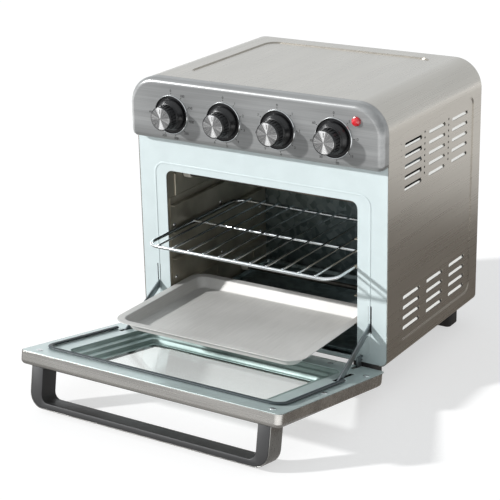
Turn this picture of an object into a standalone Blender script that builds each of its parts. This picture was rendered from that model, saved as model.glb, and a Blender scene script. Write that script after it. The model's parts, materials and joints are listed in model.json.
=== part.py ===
"""Toaster oven with a drop-down glass door, modelled open, with its rack and baking tray drawn out.

Metres, +Z up, +X to the right of someone who faces the oven, +Y to its back. Sizes are written with the
front plate's outer face at y = 0 and the table at z = 0. At the end the whole oven is moved along Y, so
that the world origin is the bottom centre of its box.
"""
import math

import bmesh
import bpy
from mathutils import Matrix, Vector

# ---- driving dimensions -------------------------------------------------------------------------
GAP = 0.0003                # between pieces that touch
PLAY = 0.0008               # round a piece that turns or slides
RUNNING = 0.0001            # round a pin in its bore

BODY_WIDTH = 0.380          # outer shell
BODY_DEPTH = 0.273
BODY_TOP = 0.3815           # above the table
BODY_BOTTOM = 0.033
SHELL_WALL = 0.001
SHELL_TOP_RADIUS = 0.040
SHELL_BOTTOM_RADIUS = 0.010
SHELL_FLANGE = 0.012        # turned in under the base

FOOT_SIZE = (0.032, 0.028)
FOOT_INSET_X = 0.020        # from the side of the shell
FOOT_INSET_FRONT = 0.001
FOOT_INSET_BACK = 0.013

LOUVRE_LENGTH = 0.0483
LOUVRE_HEIGHT = 0.0045
LOUVRE_START = 0.0455       # first column, behind the front plate
LOUVRE_PITCH_Y = 0.0689
LOUVRE_PITCH_Z = 0.0142
LOUVRE_COLUMNS = 3
UPPER_LOUVRES = (0.3202, 5)     # top of the highest slot, rows
LOWER_LOUVRES = (0.1153, 4)

PANEL_DEPTH = 0.0166        # the control panel stands this far in front of the front plate
PANEL_BOTTOM = 0.2976
PANEL_WALL = 0.0012
PANEL_EDGE_RADIUS = 0.008
PANEL_BOTTOM_RADIUS = 0.009

CAVITY_WIDTH = 0.294        # inside
CAVITY_FLOOR = 0.0380       # top of the floor
CAVITY_ROOF = 0.2525        # underside of the roof
CAVITY_DEPTH = 0.2540       # from the front plate's outer face to the back wall
CAVITY_WALL = 0.001
OPENING_MARGIN = 0.0005     # the front plate covers the edges of the cavity walls
OPENING_BOTTOM = 0.0394
OPENING_TOP = 0.2510
OPENING_RADIUS = 0.010

KNOB_PITCH = 0.0812
KNOB_HEIGHT_Z = 0.3346
KNOB_DEPTH = 0.026          # from the panel to the face of the cap
KNOB_SKIRT_RADIUS = 0.0212
KNOB_GRIP_RADIUS = 0.0158
SHAFT_RADIUS = 0.003
CONTROL_SIZE = (0.040, 0.030, 0.040)
LAMP_AT = (0.1535, 0.3597)
LAMP_RADIUS = 0.0062

FAN_Y = 0.140
FAN_RADIUS = 0.050
FAN_HOUSING_RADIUS = 0.074
FAN_HOUSING_HEIGHT = 0.028
MOTOR_RADIUS = 0.028
MOTOR_HEIGHT = 0.040

HEATER_RADIUS = 0.0035
LOWER_HEATERS = (0.0540, (0.070, 0.185))     # height, places from front to back
UPPER_HEATERS = (0.236, (0.045, 0.225))

FIRST_LEDGE = 0.0837        # top of the lowest shelf ledge
LEDGE_PITCH = 0.0385
LEDGES = 4
LEDGE_WIDTH = 0.008
LEDGE_THICKNESS = 0.0012
GUIDE_PLATE = 0.0008

TRAY_WIDTH = 0.2870
TRAY_LENGTH = 0.2080
TRAY_RIM = 0.0110           # flat rim all round
TRAY_SLOPE = 0.0065         # how far the wall leans in
TRAY_DEPTH = 0.0150
TRAY_RADIUS = 0.024
TRAY_SHEET = 0.001
TRAY_OUT = 0.1450           # its front edge, in front of the front plate

RACK_WIDTH = 0.2890
RACK_LENGTH = 0.2320
RACK_WIRE = 0.0050
RACK_CROSS_WIRE = 0.0030
RACK_CROSS_WIRES = 11
RACK_CROSS_PITCH = 0.0239
RACK_RADIUS = 0.020
RACK_OUT = 0.0620
RACK_LEDGE = 2              # the third ledge from below

CRUMB_SHEET = 0.0008
CRUMB_LENGTH = 0.2450
CRUMB_WALL = 0.0050

DOOR_WIDTH = 0.3850
DOOR_HEIGHT = 0.2690
DOOR_THICKNESS = 0.0180
DOOR_OPEN = 79.4            # degrees from shut
DOOR_WALL = 0.001
DOOR_EDGE_RADIUS = 0.006
DOOR_TOP_RADIUS = 0.0085    # corners at the handle end
DOOR_HINGE_RADIUS = 0.018   # corners at the hinge end
HINGE_AXIS = (-0.0074, 0.0273)      # y and z of the door's hinge
HINGE_FROM_END = 0.0030     # hinge axis to the door's lower end
HINGE_FROM_INNER = 0.0035   # hinge axis to the door's inner face
HINGE_X = 0.1525            # bracket of each hinge, from the middle
PIN_RADIUS = 0.0016
ARM_X = 0.1648
ARM_PIVOT = (0.0830, 0.0075)        # from the door's lower end, and below its inner face
ARM_LENGTH = 0.1080
ARM_HEIGHT = 0.0100
ARM_THICKNESS = 0.002
ARM_ANGLE = 28.3            # above level, with the door open
SLOT_WIDTH = 0.0051
SLOT_Z = (0.0760, 0.1140)

WINDOW_HALF_WIDTH = 0.150   # mouth of the window well in the inner panel
WINDOW_FROM_END = (0.040, 0.228)
WELL_STEPS = 3
WELL_LEDGE = 0.0095
WELL_DROP = 0.0040
WELL_RADIUS = 0.014
GLASS_THICKNESS = 0.0032
GASKET_HALF_WIDTH = 0.175
GASKET_FRONT = 0.2385       # from the door's lower end
GASKET_END = 0.0860
GASKET_WIDTH = 0.0062
GASKET_HEIGHT = 0.0033

HANDLE_HALF_WIDTH = 0.177
HANDLE_REACH = 0.0725       # from the door's inner face to the far side of the bar
HANDLE_DEPTH = 0.028
HANDLE_FROM_TOP = 0.0080
HANDLE_ARM = 0.0180
HANDLE_BAR = 0.0085
HANDLE_RADIUS = 0.020
TRIM = 0.001

# ---- places worked out from them ----------------------------------------------------------------
HALF = BODY_WIDTH / 2
INNER = HALF - SHELL_WALL - GAP
CAVITY_HALF = CAVITY_WIDTH / 2
INNER_FACE = HINGE_FROM_INNER               # the door's inner face, in the door's own frame
OUTER_FACE = HINGE_FROM_INNER - DOOR_THICKNESS
DOOR_START = -HINGE_FROM_END
DOOR_END = DOOR_HEIGHT - HINGE_FROM_END
LEDGE_TOPS = [FIRST_LEDGE + LEDGE_PITCH * number for number in range(LEDGES)]
FRAME = {
    "x": Matrix(((0, 0, 1), (1, 0, 0), (0, 1, 0))),
    "y": Matrix(((1, 0, 0), (0, 0, -1), (0, 1, 0))),
    "z": Matrix.Identity(3),
}


# ---- tools --------------------------------------------------------------------------------------
def clear_scene():
    for item in list(bpy.data.objects):
        bpy.data.objects.remove(item, do_unlink=True)


def new_collection(name):
    collection = bpy.data.collections.new(name)
    bpy.context.scene.collection.children.link(collection)
    return collection


def finish(name, colour, roughness, metallic):
    """The paint or metal of one piece."""
    material = bpy.data.materials.new(name)
    material.use_nodes = True
    shader = material.node_tree.nodes["Principled BSDF"]
    shader.inputs["Base Color"].default_value = (*colour, 1)
    shader.inputs["Roughness"].default_value = roughness
    shader.inputs["Metallic"].default_value = metallic
    return material


def stainless(name):
    return finish(name, (0.55, 0.53, 0.50), 0.35, 1.0)


def zinc_steel(name):
    return finish(name, (0.42, 0.43, 0.43), 0.45, 1.0)


def pale_enamel(name):
    return finish(name, (0.70, 0.80, 0.80), 0.35, 0.0)


def black_plastic(name):
    return finish(name, (0.015, 0.015, 0.016), 0.45, 0.0)


def bright_metal(name):
    return finish(name, (0.80, 0.80, 0.81), 0.15, 1.0)


def add(name, mesh, make_finish, parent):
    item = bpy.data.objects.new(name, mesh)
    OVEN.objects.link(item)
    item.parent = parent
    item.data.materials.clear()
    item.data.materials.append(make_finish(name + "_finish"))
    return item


def smooth(item, angle=35):
    item.data.shade_smooth()
    item.data.set_sharp_from_angle(angle=math.radians(angle))
    return item


def mesh_of(form, name):
    bmesh.ops.recalc_face_normals(form, faces=form.faces)
    mesh = bpy.data.meshes.new(name)
    form.to_mesh(mesh)
    form.free()
    return mesh


def along(axis, distance):
    return Matrix.Translation({"x": (distance, 0, 0), "y": (0, distance, 0), "z": (0, 0, distance)}[axis])


def box_mesh(name, low, high):
    form = bmesh.new()
    size = [b - a for a, b in zip(low, high)]
    middle = [(a + b) / 2 for a, b in zip(low, high)]
    bmesh.ops.create_cube(form, size=1, matrix=Matrix.Translation(middle) @ Matrix.Diagonal((*size, 1)))
    return mesh_of(form, name)


def boxes_mesh(name, corners):
    form = bmesh.new()
    for low, high in corners:
        size = [b - a for a, b in zip(low, high)]
        middle = [(a + b) / 2 for a, b in zip(low, high)]
        bmesh.ops.create_cube(form, size=1, matrix=Matrix.Translation(middle) @ Matrix.Diagonal((*size, 1)))
    return mesh_of(form, name)


def rods_mesh(name, axis, ends, places, radius, sides=24):
    """Round bars of one radius along one axis, each at its own (u, v) place across it."""
    form = bmesh.new()
    for u, v in places:
        place = FRAME[axis] @ Vector((u, v, 0))
        matrix = along(axis, (ends[0] + ends[1]) / 2) @ Matrix.Translation(place) @ FRAME[axis].to_4x4()
        bmesh.ops.create_cone(form, cap_ends=True, cap_tris=False, segments=sides, radius1=radius,
                              radius2=radius, depth=ends[1] - ends[0], matrix=matrix)
    return mesh_of(form, name)


def outline_mesh(name, loops, axis, start, end):
    """A flat outline with its holes, drawn across an axis and given a thickness from start to end."""
    curve = bpy.data.curves.new(name, "CURVE")
    curve.dimensions = "2D"
    curve.fill_mode = "BOTH"
    curve.extrude = (end - start) / 2
    for loop in loops:
        spline = curve.splines.new("POLY")
        spline.points.add(len(loop) - 1)
        for point, (u, v) in zip(spline.points, loop):
            point.co = (u, v, 0, 1)
        spline.use_cyclic_u = True
    guide = bpy.data.objects.new(name, curve)
    bpy.context.scene.collection.objects.link(guide)
    graph = bpy.context.evaluated_depsgraph_get()
    filled = bpy.data.meshes.new_from_object(guide.evaluated_get(graph))
    bpy.data.objects.remove(guide, do_unlink=True)
    form = bmesh.new()
    form.from_mesh(filled)
    bpy.data.meshes.remove(filled)
    bmesh.ops.remove_doubles(form, verts=form.verts, dist=0.00001)
    bmesh.ops.transform(form, verts=form.verts, matrix=along(axis, (start + end) / 2) @ FRAME[axis].to_4x4())
    return mesh_of(form, name)


def wire_mesh(name, points, radius, closed=False):
    """A round wire through points."""
    curve = bpy.data.curves.new(name, "CURVE")
    curve.dimensions = "3D"
    curve.bevel_depth = radius
    curve.bevel_resolution = 2
    curve.use_fill_caps = True
    spline = curve.splines.new("POLY")
    spline.points.add(len(points) - 1)
    for point, place in zip(spline.points, points):
        point.co = (*place, 1)
    spline.use_cyclic_u = closed
    guide = bpy.data.objects.new(name, curve)
    bpy.context.scene.collection.objects.link(guide)
    graph = bpy.context.evaluated_depsgraph_get()
    made = bpy.data.meshes.new_from_object(guide.evaluated_get(graph))
    bpy.data.objects.remove(guide, do_unlink=True)
    form = bmesh.new()
    form.from_mesh(made)
    bpy.data.meshes.remove(made)
    bmesh.ops.remove_doubles(form, verts=form.verts, dist=0.00001)
    return mesh_of(form, name)


def loft_mesh(name, rings, fill_last=True, fill_first=False):
    """A sheet through rings of equally many points, one ring after the other."""
    form = bmesh.new()
    loops = [[form.verts.new(point) for point in ring] for ring in rings]
    for one, other in zip(loops, loops[1:]):
        for i, corner in enumerate(one):
            form.faces.new((one[i - 1], corner, other[i], other[i - 1]))
    if fill_last:
        form.faces.new(loops[-1])
    if fill_first:
        form.faces.new(loops[0])
    return mesh_of(form, name)


def rounded(low, high, radii, steps=5):
    """A rectangle's outline, anticlockwise from its lower left corner, with a radius for each corner."""
    (u0, v0), (u1, v1) = low, high
    corners = [(u0, v0, 180), (u1, v0, 270), (u1, v1, 0), (u0, v1, 90)]
    if isinstance(radii, (int, float)):
        radii = (radii,) * 4
    points = []
    for (u, v, first), radius in zip(corners, radii):
        middle_u = u + (radius if u == u0 else -radius)
        middle_v = v + (radius if v == v0 else -radius)
        for step in range(steps + 1):
            angle = math.radians(first + 90 * step / steps)
            points.append((middle_u + radius * math.cos(angle), middle_v + radius * math.sin(angle)))
    return points


def circle(centre, radius, sides=24):
    turns = [2 * math.pi * side / sides for side in range(sides)]
    return [(centre[0] + radius * math.cos(turn), centre[1] + radius * math.sin(turn)) for turn in turns]


def turned(name, profile, make_finish, parent, place, turn=(0, 0, 0), steps=32):
    """A piece turned on its own Z axis from a profile of (radius, height) that runs down its outer side."""
    mesh = bpy.data.meshes.new(name)
    mesh.from_pydata([(r, 0, z) for r, z in profile], [(i, i + 1) for i in range(len(profile) - 1)], [])
    item = add(name, mesh, make_finish, parent)
    item.location = place
    item.rotation_euler = turn
    screw = item.modifiers.new("turn", "SCREW")
    screw.steps = steps
    screw.render_steps = steps
    screw.use_merge_vertices = True
    screw.merge_threshold = 0.00001
    screw.use_smooth_shade = True
    return item


def thicken(item, thickness):
    solid = item.modifiers.new("thickness", "SOLIDIFY")
    solid.thickness = thickness
    solid.offset = 0
    solid.use_even_offset = True
    return item


def soften(item, width, segments=2, angle=40):
    bevel = item.modifiers.new("soft edges", "BEVEL")
    bevel.width = width
    bevel.segments = segments
    bevel.limit_method = "ANGLE"
    bevel.angle_limit = math.radians(angle)
    return item


def cutter(name, mesh, parent):
    tool = bpy.data.objects.new(name, mesh)
    CUTTERS.objects.link(tool)
    tool.parent = parent
    tool.hide_render = True
    tool.display_type = "WIRE"
    return tool


def cut(item, mesh, operation="DIFFERENCE"):
    """Takes a shape out of a piece, or joins it on, in the frame that the piece hangs in."""
    tool = cutter(item.name + "_" + mesh.name, mesh, item.parent)
    boolean = item.modifiers.new(mesh.name, "BOOLEAN")
    boolean.operation = operation
    boolean.solver = "EXACT"
    boolean.object = tool
    return item


def join(item, mesh):
    return cut(item, mesh, "UNION")


# ---- outer body ---------------------------------------------------------------------------------
def body_outline(inset, flange):
    """Section of the shell at one surface: up the left side, over the top and down the right."""
    side = HALF - inset
    low, high = BODY_BOTTOM + inset, BODY_TOP - inset
    lower, upper = SHELL_BOTTOM_RADIUS - inset, SHELL_TOP_RADIUS - inset
    ring = rounded((-side, low), (side, high), (lower, lower, upper, upper), 7)
    left, right = ring[:8], ring[8:16]
    end = HALF - flange
    return [(end, low)] + right + ring[16:] + left + [(-end, low)]


def louvre_boxes():
    reach = HALF + 0.01
    boxes = []
    for top, rows in (UPPER_LOUVRES, LOWER_LOUVRES):
        for row in range(rows):
            high = top - row * LOUVRE_PITCH_Z
            for column in range(LOUVRE_COLUMNS):
                front = LOUVRE_START + column * LOUVRE_PITCH_Y
                boxes.append(((-reach, front, high - LOUVRE_HEIGHT), (reach, front + LOUVRE_LENGTH, high)))
    return boxes


def outer_shell():
    loop = body_outline(0, SHELL_FLANGE) + body_outline(SHELL_WALL, SHELL_FLANGE)[::-1]
    shell = add("outer_shell", outline_mesh("shell", [loop], "y", 0, BODY_DEPTH), stainless, OVEN_FRAME)
    cut(shell, boxes_mesh("louvres", louvre_boxes()))
    return smooth(shell)


def plate_outline(inset):
    side = HALF - inset
    lower, upper = SHELL_BOTTOM_RADIUS - inset, SHELL_TOP_RADIUS - inset
    return rounded((-side, BODY_BOTTOM + inset), (side, BODY_TOP - inset), (lower, lower, upper, upper), 7)


def knob_places():
    return [((number - 1.5) * KNOB_PITCH, KNOB_HEIGHT_Z) for number in range(4)]


def front_plate():
    margin = CAVITY_HALF - OPENING_MARGIN
    loops = [plate_outline(SHELL_WALL + GAP)]
    loops.append(rounded((-margin, OPENING_BOTTOM), (margin, OPENING_TOP), OPENING_RADIUS))
    for side in (-1, 1):
        middle = side * ARM_X
        loops.append(rounded((middle - SLOT_WIDTH / 2, SLOT_Z[0]), (middle + SLOT_WIDTH / 2, SLOT_Z[1]), 0.001, 2))
        middle = side * HINGE_X
        loops.append(rounded((middle - 0.0020, BODY_BOTTOM + 0.0030), (middle + 0.0020, BODY_BOTTOM + 0.0110),
                             0.0005, 2))
    for place in knob_places():
        loops.append(circle(place, SHAFT_RADIUS + 0.003))
    loops.append(circle(LAMP_AT, LAMP_RADIUS))
    return add("front_plate", outline_mesh("plate", loops, "y", 0, SHELL_WALL), pale_enamel, OVEN_FRAME)


def control_panel():
    """A shallow pressed tray with a soft edge, whose face carries the knobs and the lamp."""
    half_sheet = PANEL_WALL / 2
    rings = []
    face = -PANEL_DEPTH + half_sheet

    def ring(y, inset):
        inset += half_sheet
        side = HALF - inset
        lower = max(PANEL_BOTTOM_RADIUS - inset, 0.001)
        upper = SHELL_TOP_RADIUS - inset
        outline = rounded((-side, PANEL_BOTTOM + inset), (side, BODY_TOP - inset), (lower, lower, upper, upper), 7)
        return [(u, y, v) for u, v in outline]

    rings.append(ring(-GAP, 0))
    steps = 4
    radius = PANEL_EDGE_RADIUS
    for step in range(steps + 1):
        angle = math.radians(90 * step / steps)
        rings.append(ring(face + radius * (1 - math.sin(angle)), radius * (1 - math.cos(angle))))
    panel = thicken(add("control_panel", loft_mesh("panel", rings), stainless, OVEN_FRAME), PANEL_WALL)
    ends = (-PANEL_DEPTH - 0.005, -PANEL_DEPTH + 0.005)
    cut(panel, rods_mesh("shaft_holes", "y", ends, knob_places(), SHAFT_RADIUS + 0.0015))
    cut(panel, rods_mesh("lamp_hole", "y", ends, [LAMP_AT], LAMP_RADIUS - 0.0015))
    return smooth(panel)


def base_plate():
    half = HALF - SHELL_FLANGE - GAP
    loops = [rounded((-half, GAP + SHELL_WALL), (half, BODY_DEPTH - 0.004), 0.003, 2)]
    slots = 5
    for number in range(slots):
        middle = BODY_DEPTH / 2 + (number - (slots - 1) / 2) * 0.016
        loops.append(rounded((-0.060, middle - 0.002), (0.060, middle + 0.002), 0.0015, 2))
    mesh = outline_mesh("base", loops, "z", BODY_BOTTOM, BODY_BOTTOM + SHELL_WALL)
    return add("base_plate", mesh, zinc_steel, OVEN_FRAME)


def rear_cover():
    y = BODY_DEPTH - SHELL_WALL - GAP
    loops = [plate_outline(SHELL_WALL + GAP)]
    for side in (-1, 1):
        for row in range(7):
            z = 0.285 + row * 0.011
            middle = side * 0.075
            loops.append(rounded((middle - 0.045, z - 0.002), (middle + 0.045, z + 0.002), 0.0015, 2))
    loops.append(circle(GLAND_AT, GLAND_RADIUS + GAP))
    cover = add("rear_cover", outline_mesh("cover", loops, "y", y, y + SHELL_WALL), zinc_steel, OVEN_FRAME)
    back = y + SHELL_WALL
    spacers = [((side * 0.120 - 0.012, back - 0.0005, z), (side * 0.120 + 0.012, back + REAR_SPACER, z + 0.020))
               for side in (-1, 1) for z in (0.090, 0.240)]
    return join(cover, boxes_mesh("spacers", spacers))


GLAND_AT = (0.140, 0.062)
GLAND_RADIUS = 0.0075
REAR_SPACER = 0.012


def cord_gland():
    """The bush in the rear cover that the mains lead would pass through."""
    y = BODY_DEPTH - SHELL_WALL - GAP
    profile = [(0.0036, 0.008), (0.0068, 0.008), (0.0098, 0.003), (0.0098, SHELL_WALL + GAP),
               (GLAND_RADIUS, SHELL_WALL + GAP), (GLAND_RADIUS, -0.006), (0.0036, -0.006), (0.0036, 0.008)]
    return turned("cord_gland", profile, black_plastic, OVEN_FRAME, (GLAND_AT[0], y, GLAND_AT[1]),
                  (math.radians(-90), 0, 0), 24)


def feet():
    for side, across in ((-1, "left"), (1, "right")):
        for end in ("front", "rear"):
            outer = HALF - FOOT_INSET_X
            x = side * (outer - FOOT_SIZE[0] / 2)
            front = FOOT_INSET_FRONT if end == "front" else BODY_DEPTH - FOOT_INSET_BACK - FOOT_SIZE[1]
            y = front + FOOT_SIZE[1] / 2
            rings = []
            for z, inset in ((0, 0.002), (0.002, 0), (BODY_BOTTOM - GAP, 0)):
                low = (x - FOOT_SIZE[0] / 2 + inset, y - FOOT_SIZE[1] / 2 + inset)
                high = (x + FOOT_SIZE[0] / 2 - inset, y + FOOT_SIZE[1] / 2 - inset)
                rings.append([(u, v, z) for u, v in rounded(low, high, 0.006 - inset / 2, 4)])
            foot = add(f"{end}_{across}_foot", loft_mesh("foot", rings, fill_first=True), black_plastic, OVEN_FRAME)
            smooth(foot, 50)


# ---- cooking cavity -----------------------------------------------------------------------------
def cavity():
    front = SHELL_WALL + GAP
    back = CAVITY_DEPTH
    w = CAVITY_WALL
    grey = zinc_steel
    for side, name in ((-1, "cavity_left_wall"), (1, "cavity_right_wall")):
        near, far = sorted((side * CAVITY_HALF, side * (CAVITY_HALF + w)))
        add(name, box_mesh("wall", (near, front, CAVITY_FLOOR), (far, back - GAP, CAVITY_ROOF)), grey, OVEN_FRAME)
    wide = CAVITY_HALF + w
    floor_loop = [rounded((-wide, front), (wide, back - GAP), 0.002, 2)]
    mesh = outline_mesh("floor", floor_loop, "z", CAVITY_FLOOR - GAP - w, CAVITY_FLOOR - GAP)
    add("cavity_floor", mesh, grey, OVEN_FRAME)
    roof_loops = floor_loop + [circle((0, FAN_Y), FAN_RADIUS + 0.006, 32)]
    mesh = outline_mesh("roof", roof_loops, "z", CAVITY_ROOF + GAP, CAVITY_ROOF + GAP + w)
    add("cavity_roof", mesh, grey, OVEN_FRAME)
    low, high = CAVITY_FLOOR - GAP - w, CAVITY_ROOF + GAP + w
    add("cavity_back", box_mesh("back", (-wide, back, low), (wide, back + w, high)), grey, OVEN_FRAME)


def shelf_guides():
    """A comb on each side wall: a plate with ledges that the rack and the tray slide on."""
    wall = CAVITY_HALF - GAP
    inner = wall - GUIDE_PLATE
    tip = CAVITY_HALF - LEDGE_WIDTH
    comb = [(wall, LEDGE_TOPS[-1] + 0.010), (inner, LEDGE_TOPS[-1] + 0.010)]
    for top in reversed(LEDGE_TOPS):
        comb += [(inner, top), (tip, top), (tip, top - LEDGE_THICKNESS), (inner, top - LEDGE_THICKNESS)]
    comb += [(inner, LEDGE_TOPS[0] - 0.010), (wall, LEDGE_TOPS[0] - 0.010)]
    for side, name in ((-1, "left_shelf_guide"), (1, "right_shelf_guide")):
        loop = [(side * u, v) for u, v in comb]
        mesh = outline_mesh("guide", [loop], "y", 0.006, CAVITY_DEPTH - 0.004)
        add(name, mesh, zinc_steel, OVEN_FRAME)


def heaters():
    length = CAVITY_WIDTH - 2 * (GUIDE_PLATE + 3 * GAP)
    collar = 0.0060
    for level, (z, places) in (("lower", LOWER_HEATERS), ("upper", UPPER_HEATERS)):
        for where, y in zip(("front", "rear"), places):
            half = length / 2
            profile = [(0, half), (collar, half), (collar, half - 0.009), (HEATER_RADIUS, half - 0.011),
                       (HEATER_RADIUS, 0.011 - half), (collar, 0.009 - half), (collar, -half), (0, -half)]
            turned(f"{level}_{where}_heater", profile, lambda n: finish(n, (0.23, 0.22, 0.21), 0.5, 1.0),
                   OVEN_FRAME, (0, y, z), (0, math.radians(90), 0), 16)


def fan():
    roof = CAVITY_ROOF + GAP + CAVITY_WALL + GAP
    top = roof + FAN_HOUSING_HEIGHT
    w = SHELL_WALL
    shaft = SHAFT_RADIUS + PLAY
    profile = [(shaft, top), (FAN_HOUSING_RADIUS - 0.010, top), (FAN_HOUSING_RADIUS - 0.008, top - 0.002),
               (FAN_HOUSING_RADIUS - 0.008, roof + w), (FAN_HOUSING_RADIUS, roof + w),
               (FAN_HOUSING_RADIUS, roof), (FAN_HOUSING_RADIUS - 0.008 - w, roof),
               (FAN_HOUSING_RADIUS - 0.008 - w, top - 0.002 - w), (FAN_HOUSING_RADIUS - 0.010 - w, top - w),
               (shaft, top - w), (shaft, top)]
    turned("fan_housing", profile, zinc_steel, OVEN_FRAME, (0, FAN_Y, 0), steps=32)
    base = top + GAP
    profile = [(0, base + MOTOR_HEIGHT), (MOTOR_RADIUS - 0.003, base + MOTOR_HEIGHT),
               (MOTOR_RADIUS, base + MOTOR_HEIGHT - 0.003), (MOTOR_RADIUS, base + 0.004),
               (MOTOR_RADIUS + 0.006, base + 0.004), (MOTOR_RADIUS + 0.006, base), (shaft, base),
               (shaft, base + 0.012), (0, base + 0.012)]
    turned("fan_motor", profile, lambda n: finish(n, (0.30, 0.30, 0.31), 0.5, 0.8), OVEN_FRAME,
           (0, FAN_Y, 0), steps=24)
    # The impeller: a disc with upright paddles, on a shaft that ends inside the motor.
    disc = roof + 0.016
    pivot = bpy.data.objects.new("fan_axis", None)
    OVEN.objects.link(pivot)
    pivot.parent = OVEN_FRAME
    pivot.location = (0, FAN_Y, 0)
    blade = add("fan_blade", rods_mesh("disc", "z", (disc, disc + 0.0012), [(0, 0)], FAN_RADIUS, 32),
                zinc_steel, pivot)
    form = bmesh.new()
    paddles = 8
    for number in range(paddles):
        matrix = (Matrix.Rotation(2 * math.pi * number / paddles, 4, "Z")
                  @ Matrix.Translation(((FAN_RADIUS + 0.016) / 2, 0, disc - 0.006))
                  @ Matrix.Rotation(math.radians(18), 4, "Z")
                  @ Matrix.Diagonal((FAN_RADIUS - 0.020, 0.0012, 0.013, 1)))
        bmesh.ops.create_cube(form, size=1, matrix=matrix)
    join(blade, mesh_of(form, "paddles"))
    join(blade, rods_mesh("shaft", "z", (disc - 0.004, base + 0.010), [(0, 0)], SHAFT_RADIUS, 16))
    loops = [circle((0, FAN_Y), FAN_RADIUS + 0.012, 32)]
    for ring, count in ((0.016, 8), (0.030, 14), (0.044, 20)):
        for number in range(count):
            turn = 2 * math.pi * number / count
            slot = []
            for radial, across in ((-0.0045, -0.0022), (0.0045, -0.0022), (0.0045, 0.0022), (-0.0045, 0.0022)):
                reach = ring + radial
                slot.append((reach * math.cos(turn) - across * math.sin(turn),
                             FAN_Y + reach * math.sin(turn) + across * math.cos(turn)))
            loops.append(slot)
    mesh = outline_mesh("guard", loops, "z", CAVITY_ROOF - w, CAVITY_ROOF)
    add("fan_guard", mesh, zinc_steel, OVEN_FRAME)


# ---- controls -----------------------------------------------------------------------------------
CONTROL_NAMES = ("temperature", "function", "toast_timer", "fry_timer")


def controls():
    front = SHELL_WALL + GAP
    width, depth, height = CONTROL_SIZE
    for name, (x, z) in zip(CONTROL_NAMES, knob_places()):
        box = box_mesh("case", (x - width / 2, front, z - height / 2), (x + width / 2, front + depth, z + height / 2))
        unit = add(name + "_control", box, lambda n: finish(n, (0.62, 0.60, 0.52), 0.5, 0.0), OVEN_FRAME)
        cut(unit, rods_mesh("bore", "y", (front - 0.005, front + 0.018), [(x, z)], SHAFT_RADIUS + GAP, 24))
        outward = (math.radians(90), 0, 0)
        place = (x, -PANEL_DEPTH, z)
        bore = SHAFT_RADIUS + GAP
        top = KNOB_DEPTH - 0.0027
        seat = 0.0180
        grip, skirt = KNOB_GRIP_RADIUS, KNOB_SKIRT_RADIUS
        profile = [(0, top), (grip - 0.001, top), (grip, top - 0.001), (grip + 0.0006, 0.0115),
                   (grip + 0.0018, 0.0080), (skirt - 0.0010, 0.0048), (skirt, 0.0030), (skirt, PLAY),
                   (bore, PLAY), (bore, seat), (0, seat)]
        turned(f"{name}_knob", profile, black_plastic, OVEN_FRAME, place, outward, 36)
        cap = grip - 0.0014
        profile = [(0, KNOB_DEPTH), (cap - 0.0006, KNOB_DEPTH), (cap, KNOB_DEPTH - 0.0006), (cap, top + GAP),
                   (0, top + GAP)]
        turned(f"{name}_knob_cap", profile, bright_metal, OVEN_FRAME, place, outward, 36)
        inside = -PANEL_DEPTH - front - 0.017
        profile = [(0, seat - GAP), (SHAFT_RADIUS - 0.0005, seat - GAP), (SHAFT_RADIUS, seat - GAP - 0.0005),
                   (SHAFT_RADIUS, inside), (0, inside)]
        turned(f"{name}_shaft", profile, zinc_steel, OVEN_FRAME, place, outward, 16)


def indicator_lens():
    stem = LAMP_RADIUS - 0.0015 - GAP
    dome = 0.0055
    profile = [(0, dome)]
    for degrees in (70, 45, 20):
        turn = math.radians(degrees)
        profile.append((LAMP_RADIUS * math.cos(turn), GAP + 0.001 + (dome - GAP - 0.001) * math.sin(turn)))
    profile += [(LAMP_RADIUS, GAP + 0.001), (LAMP_RADIUS, GAP), (stem, GAP), (stem, -0.010), (0, -0.010)]
    turned("indicator_lens", profile, lambda n: finish(n, (0.60, 0.01, 0.01), 0.15, 0.0), OVEN_FRAME,
           (LAMP_AT[0], -PANEL_DEPTH, LAMP_AT[1]), (math.radians(90), 0, 0), 24)


# ---- rack and trays -----------------------------------------------------------------------------
def wire_rack():
    z = LEDGE_TOPS[RACK_LEDGE] + GAP + RACK_WIRE / 2
    half = (RACK_WIDTH - RACK_WIRE) / 2
    front = -RACK_OUT + RACK_WIRE / 2
    back = front + RACK_LENGTH - RACK_WIRE
    frame = [(u, v, z) for u, v in rounded((-half, front), (half, back), RACK_RADIUS, 6)]
    rack = add("wire_rack", wire_mesh("frame", frame, RACK_WIRE / 2, closed=True), bright_metal, OVEN_FRAME)
    above = z + (RACK_WIRE + RACK_CROSS_WIRE) / 2 - 0.0006
    first = -(RACK_CROSS_WIRES - 1) / 2 * RACK_CROSS_PITCH
    places = [(first + number * RACK_CROSS_PITCH, above) for number in range(RACK_CROSS_WIRES)]
    join(rack, rods_mesh("cross_wires", "y", (front - 0.0012, back + 0.0012), places, RACK_CROSS_WIRE / 2, 10))
    below = z + 0.0004
    bars = [((front + back) / 2, below)]
    join(rack, rods_mesh("stiffener", "x", (-half, half), bars, RACK_CROSS_WIRE / 2 + 0.0006, 10))
    return smooth(rack, 50)


def tray_rings(low, high, radius, steps):
    """Rings of a pressed tray: steps hold (how far in, height) from the rim's edge to the base."""
    rings = []
    for inset, z in steps:
        outline = rounded((low[0] + inset, low[1] + inset), (high[0] - inset, high[1] - inset),
                          max(radius - inset, 0.002), 6)
        rings.append([(u, v, z) for u, v in outline])
    return rings


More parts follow.
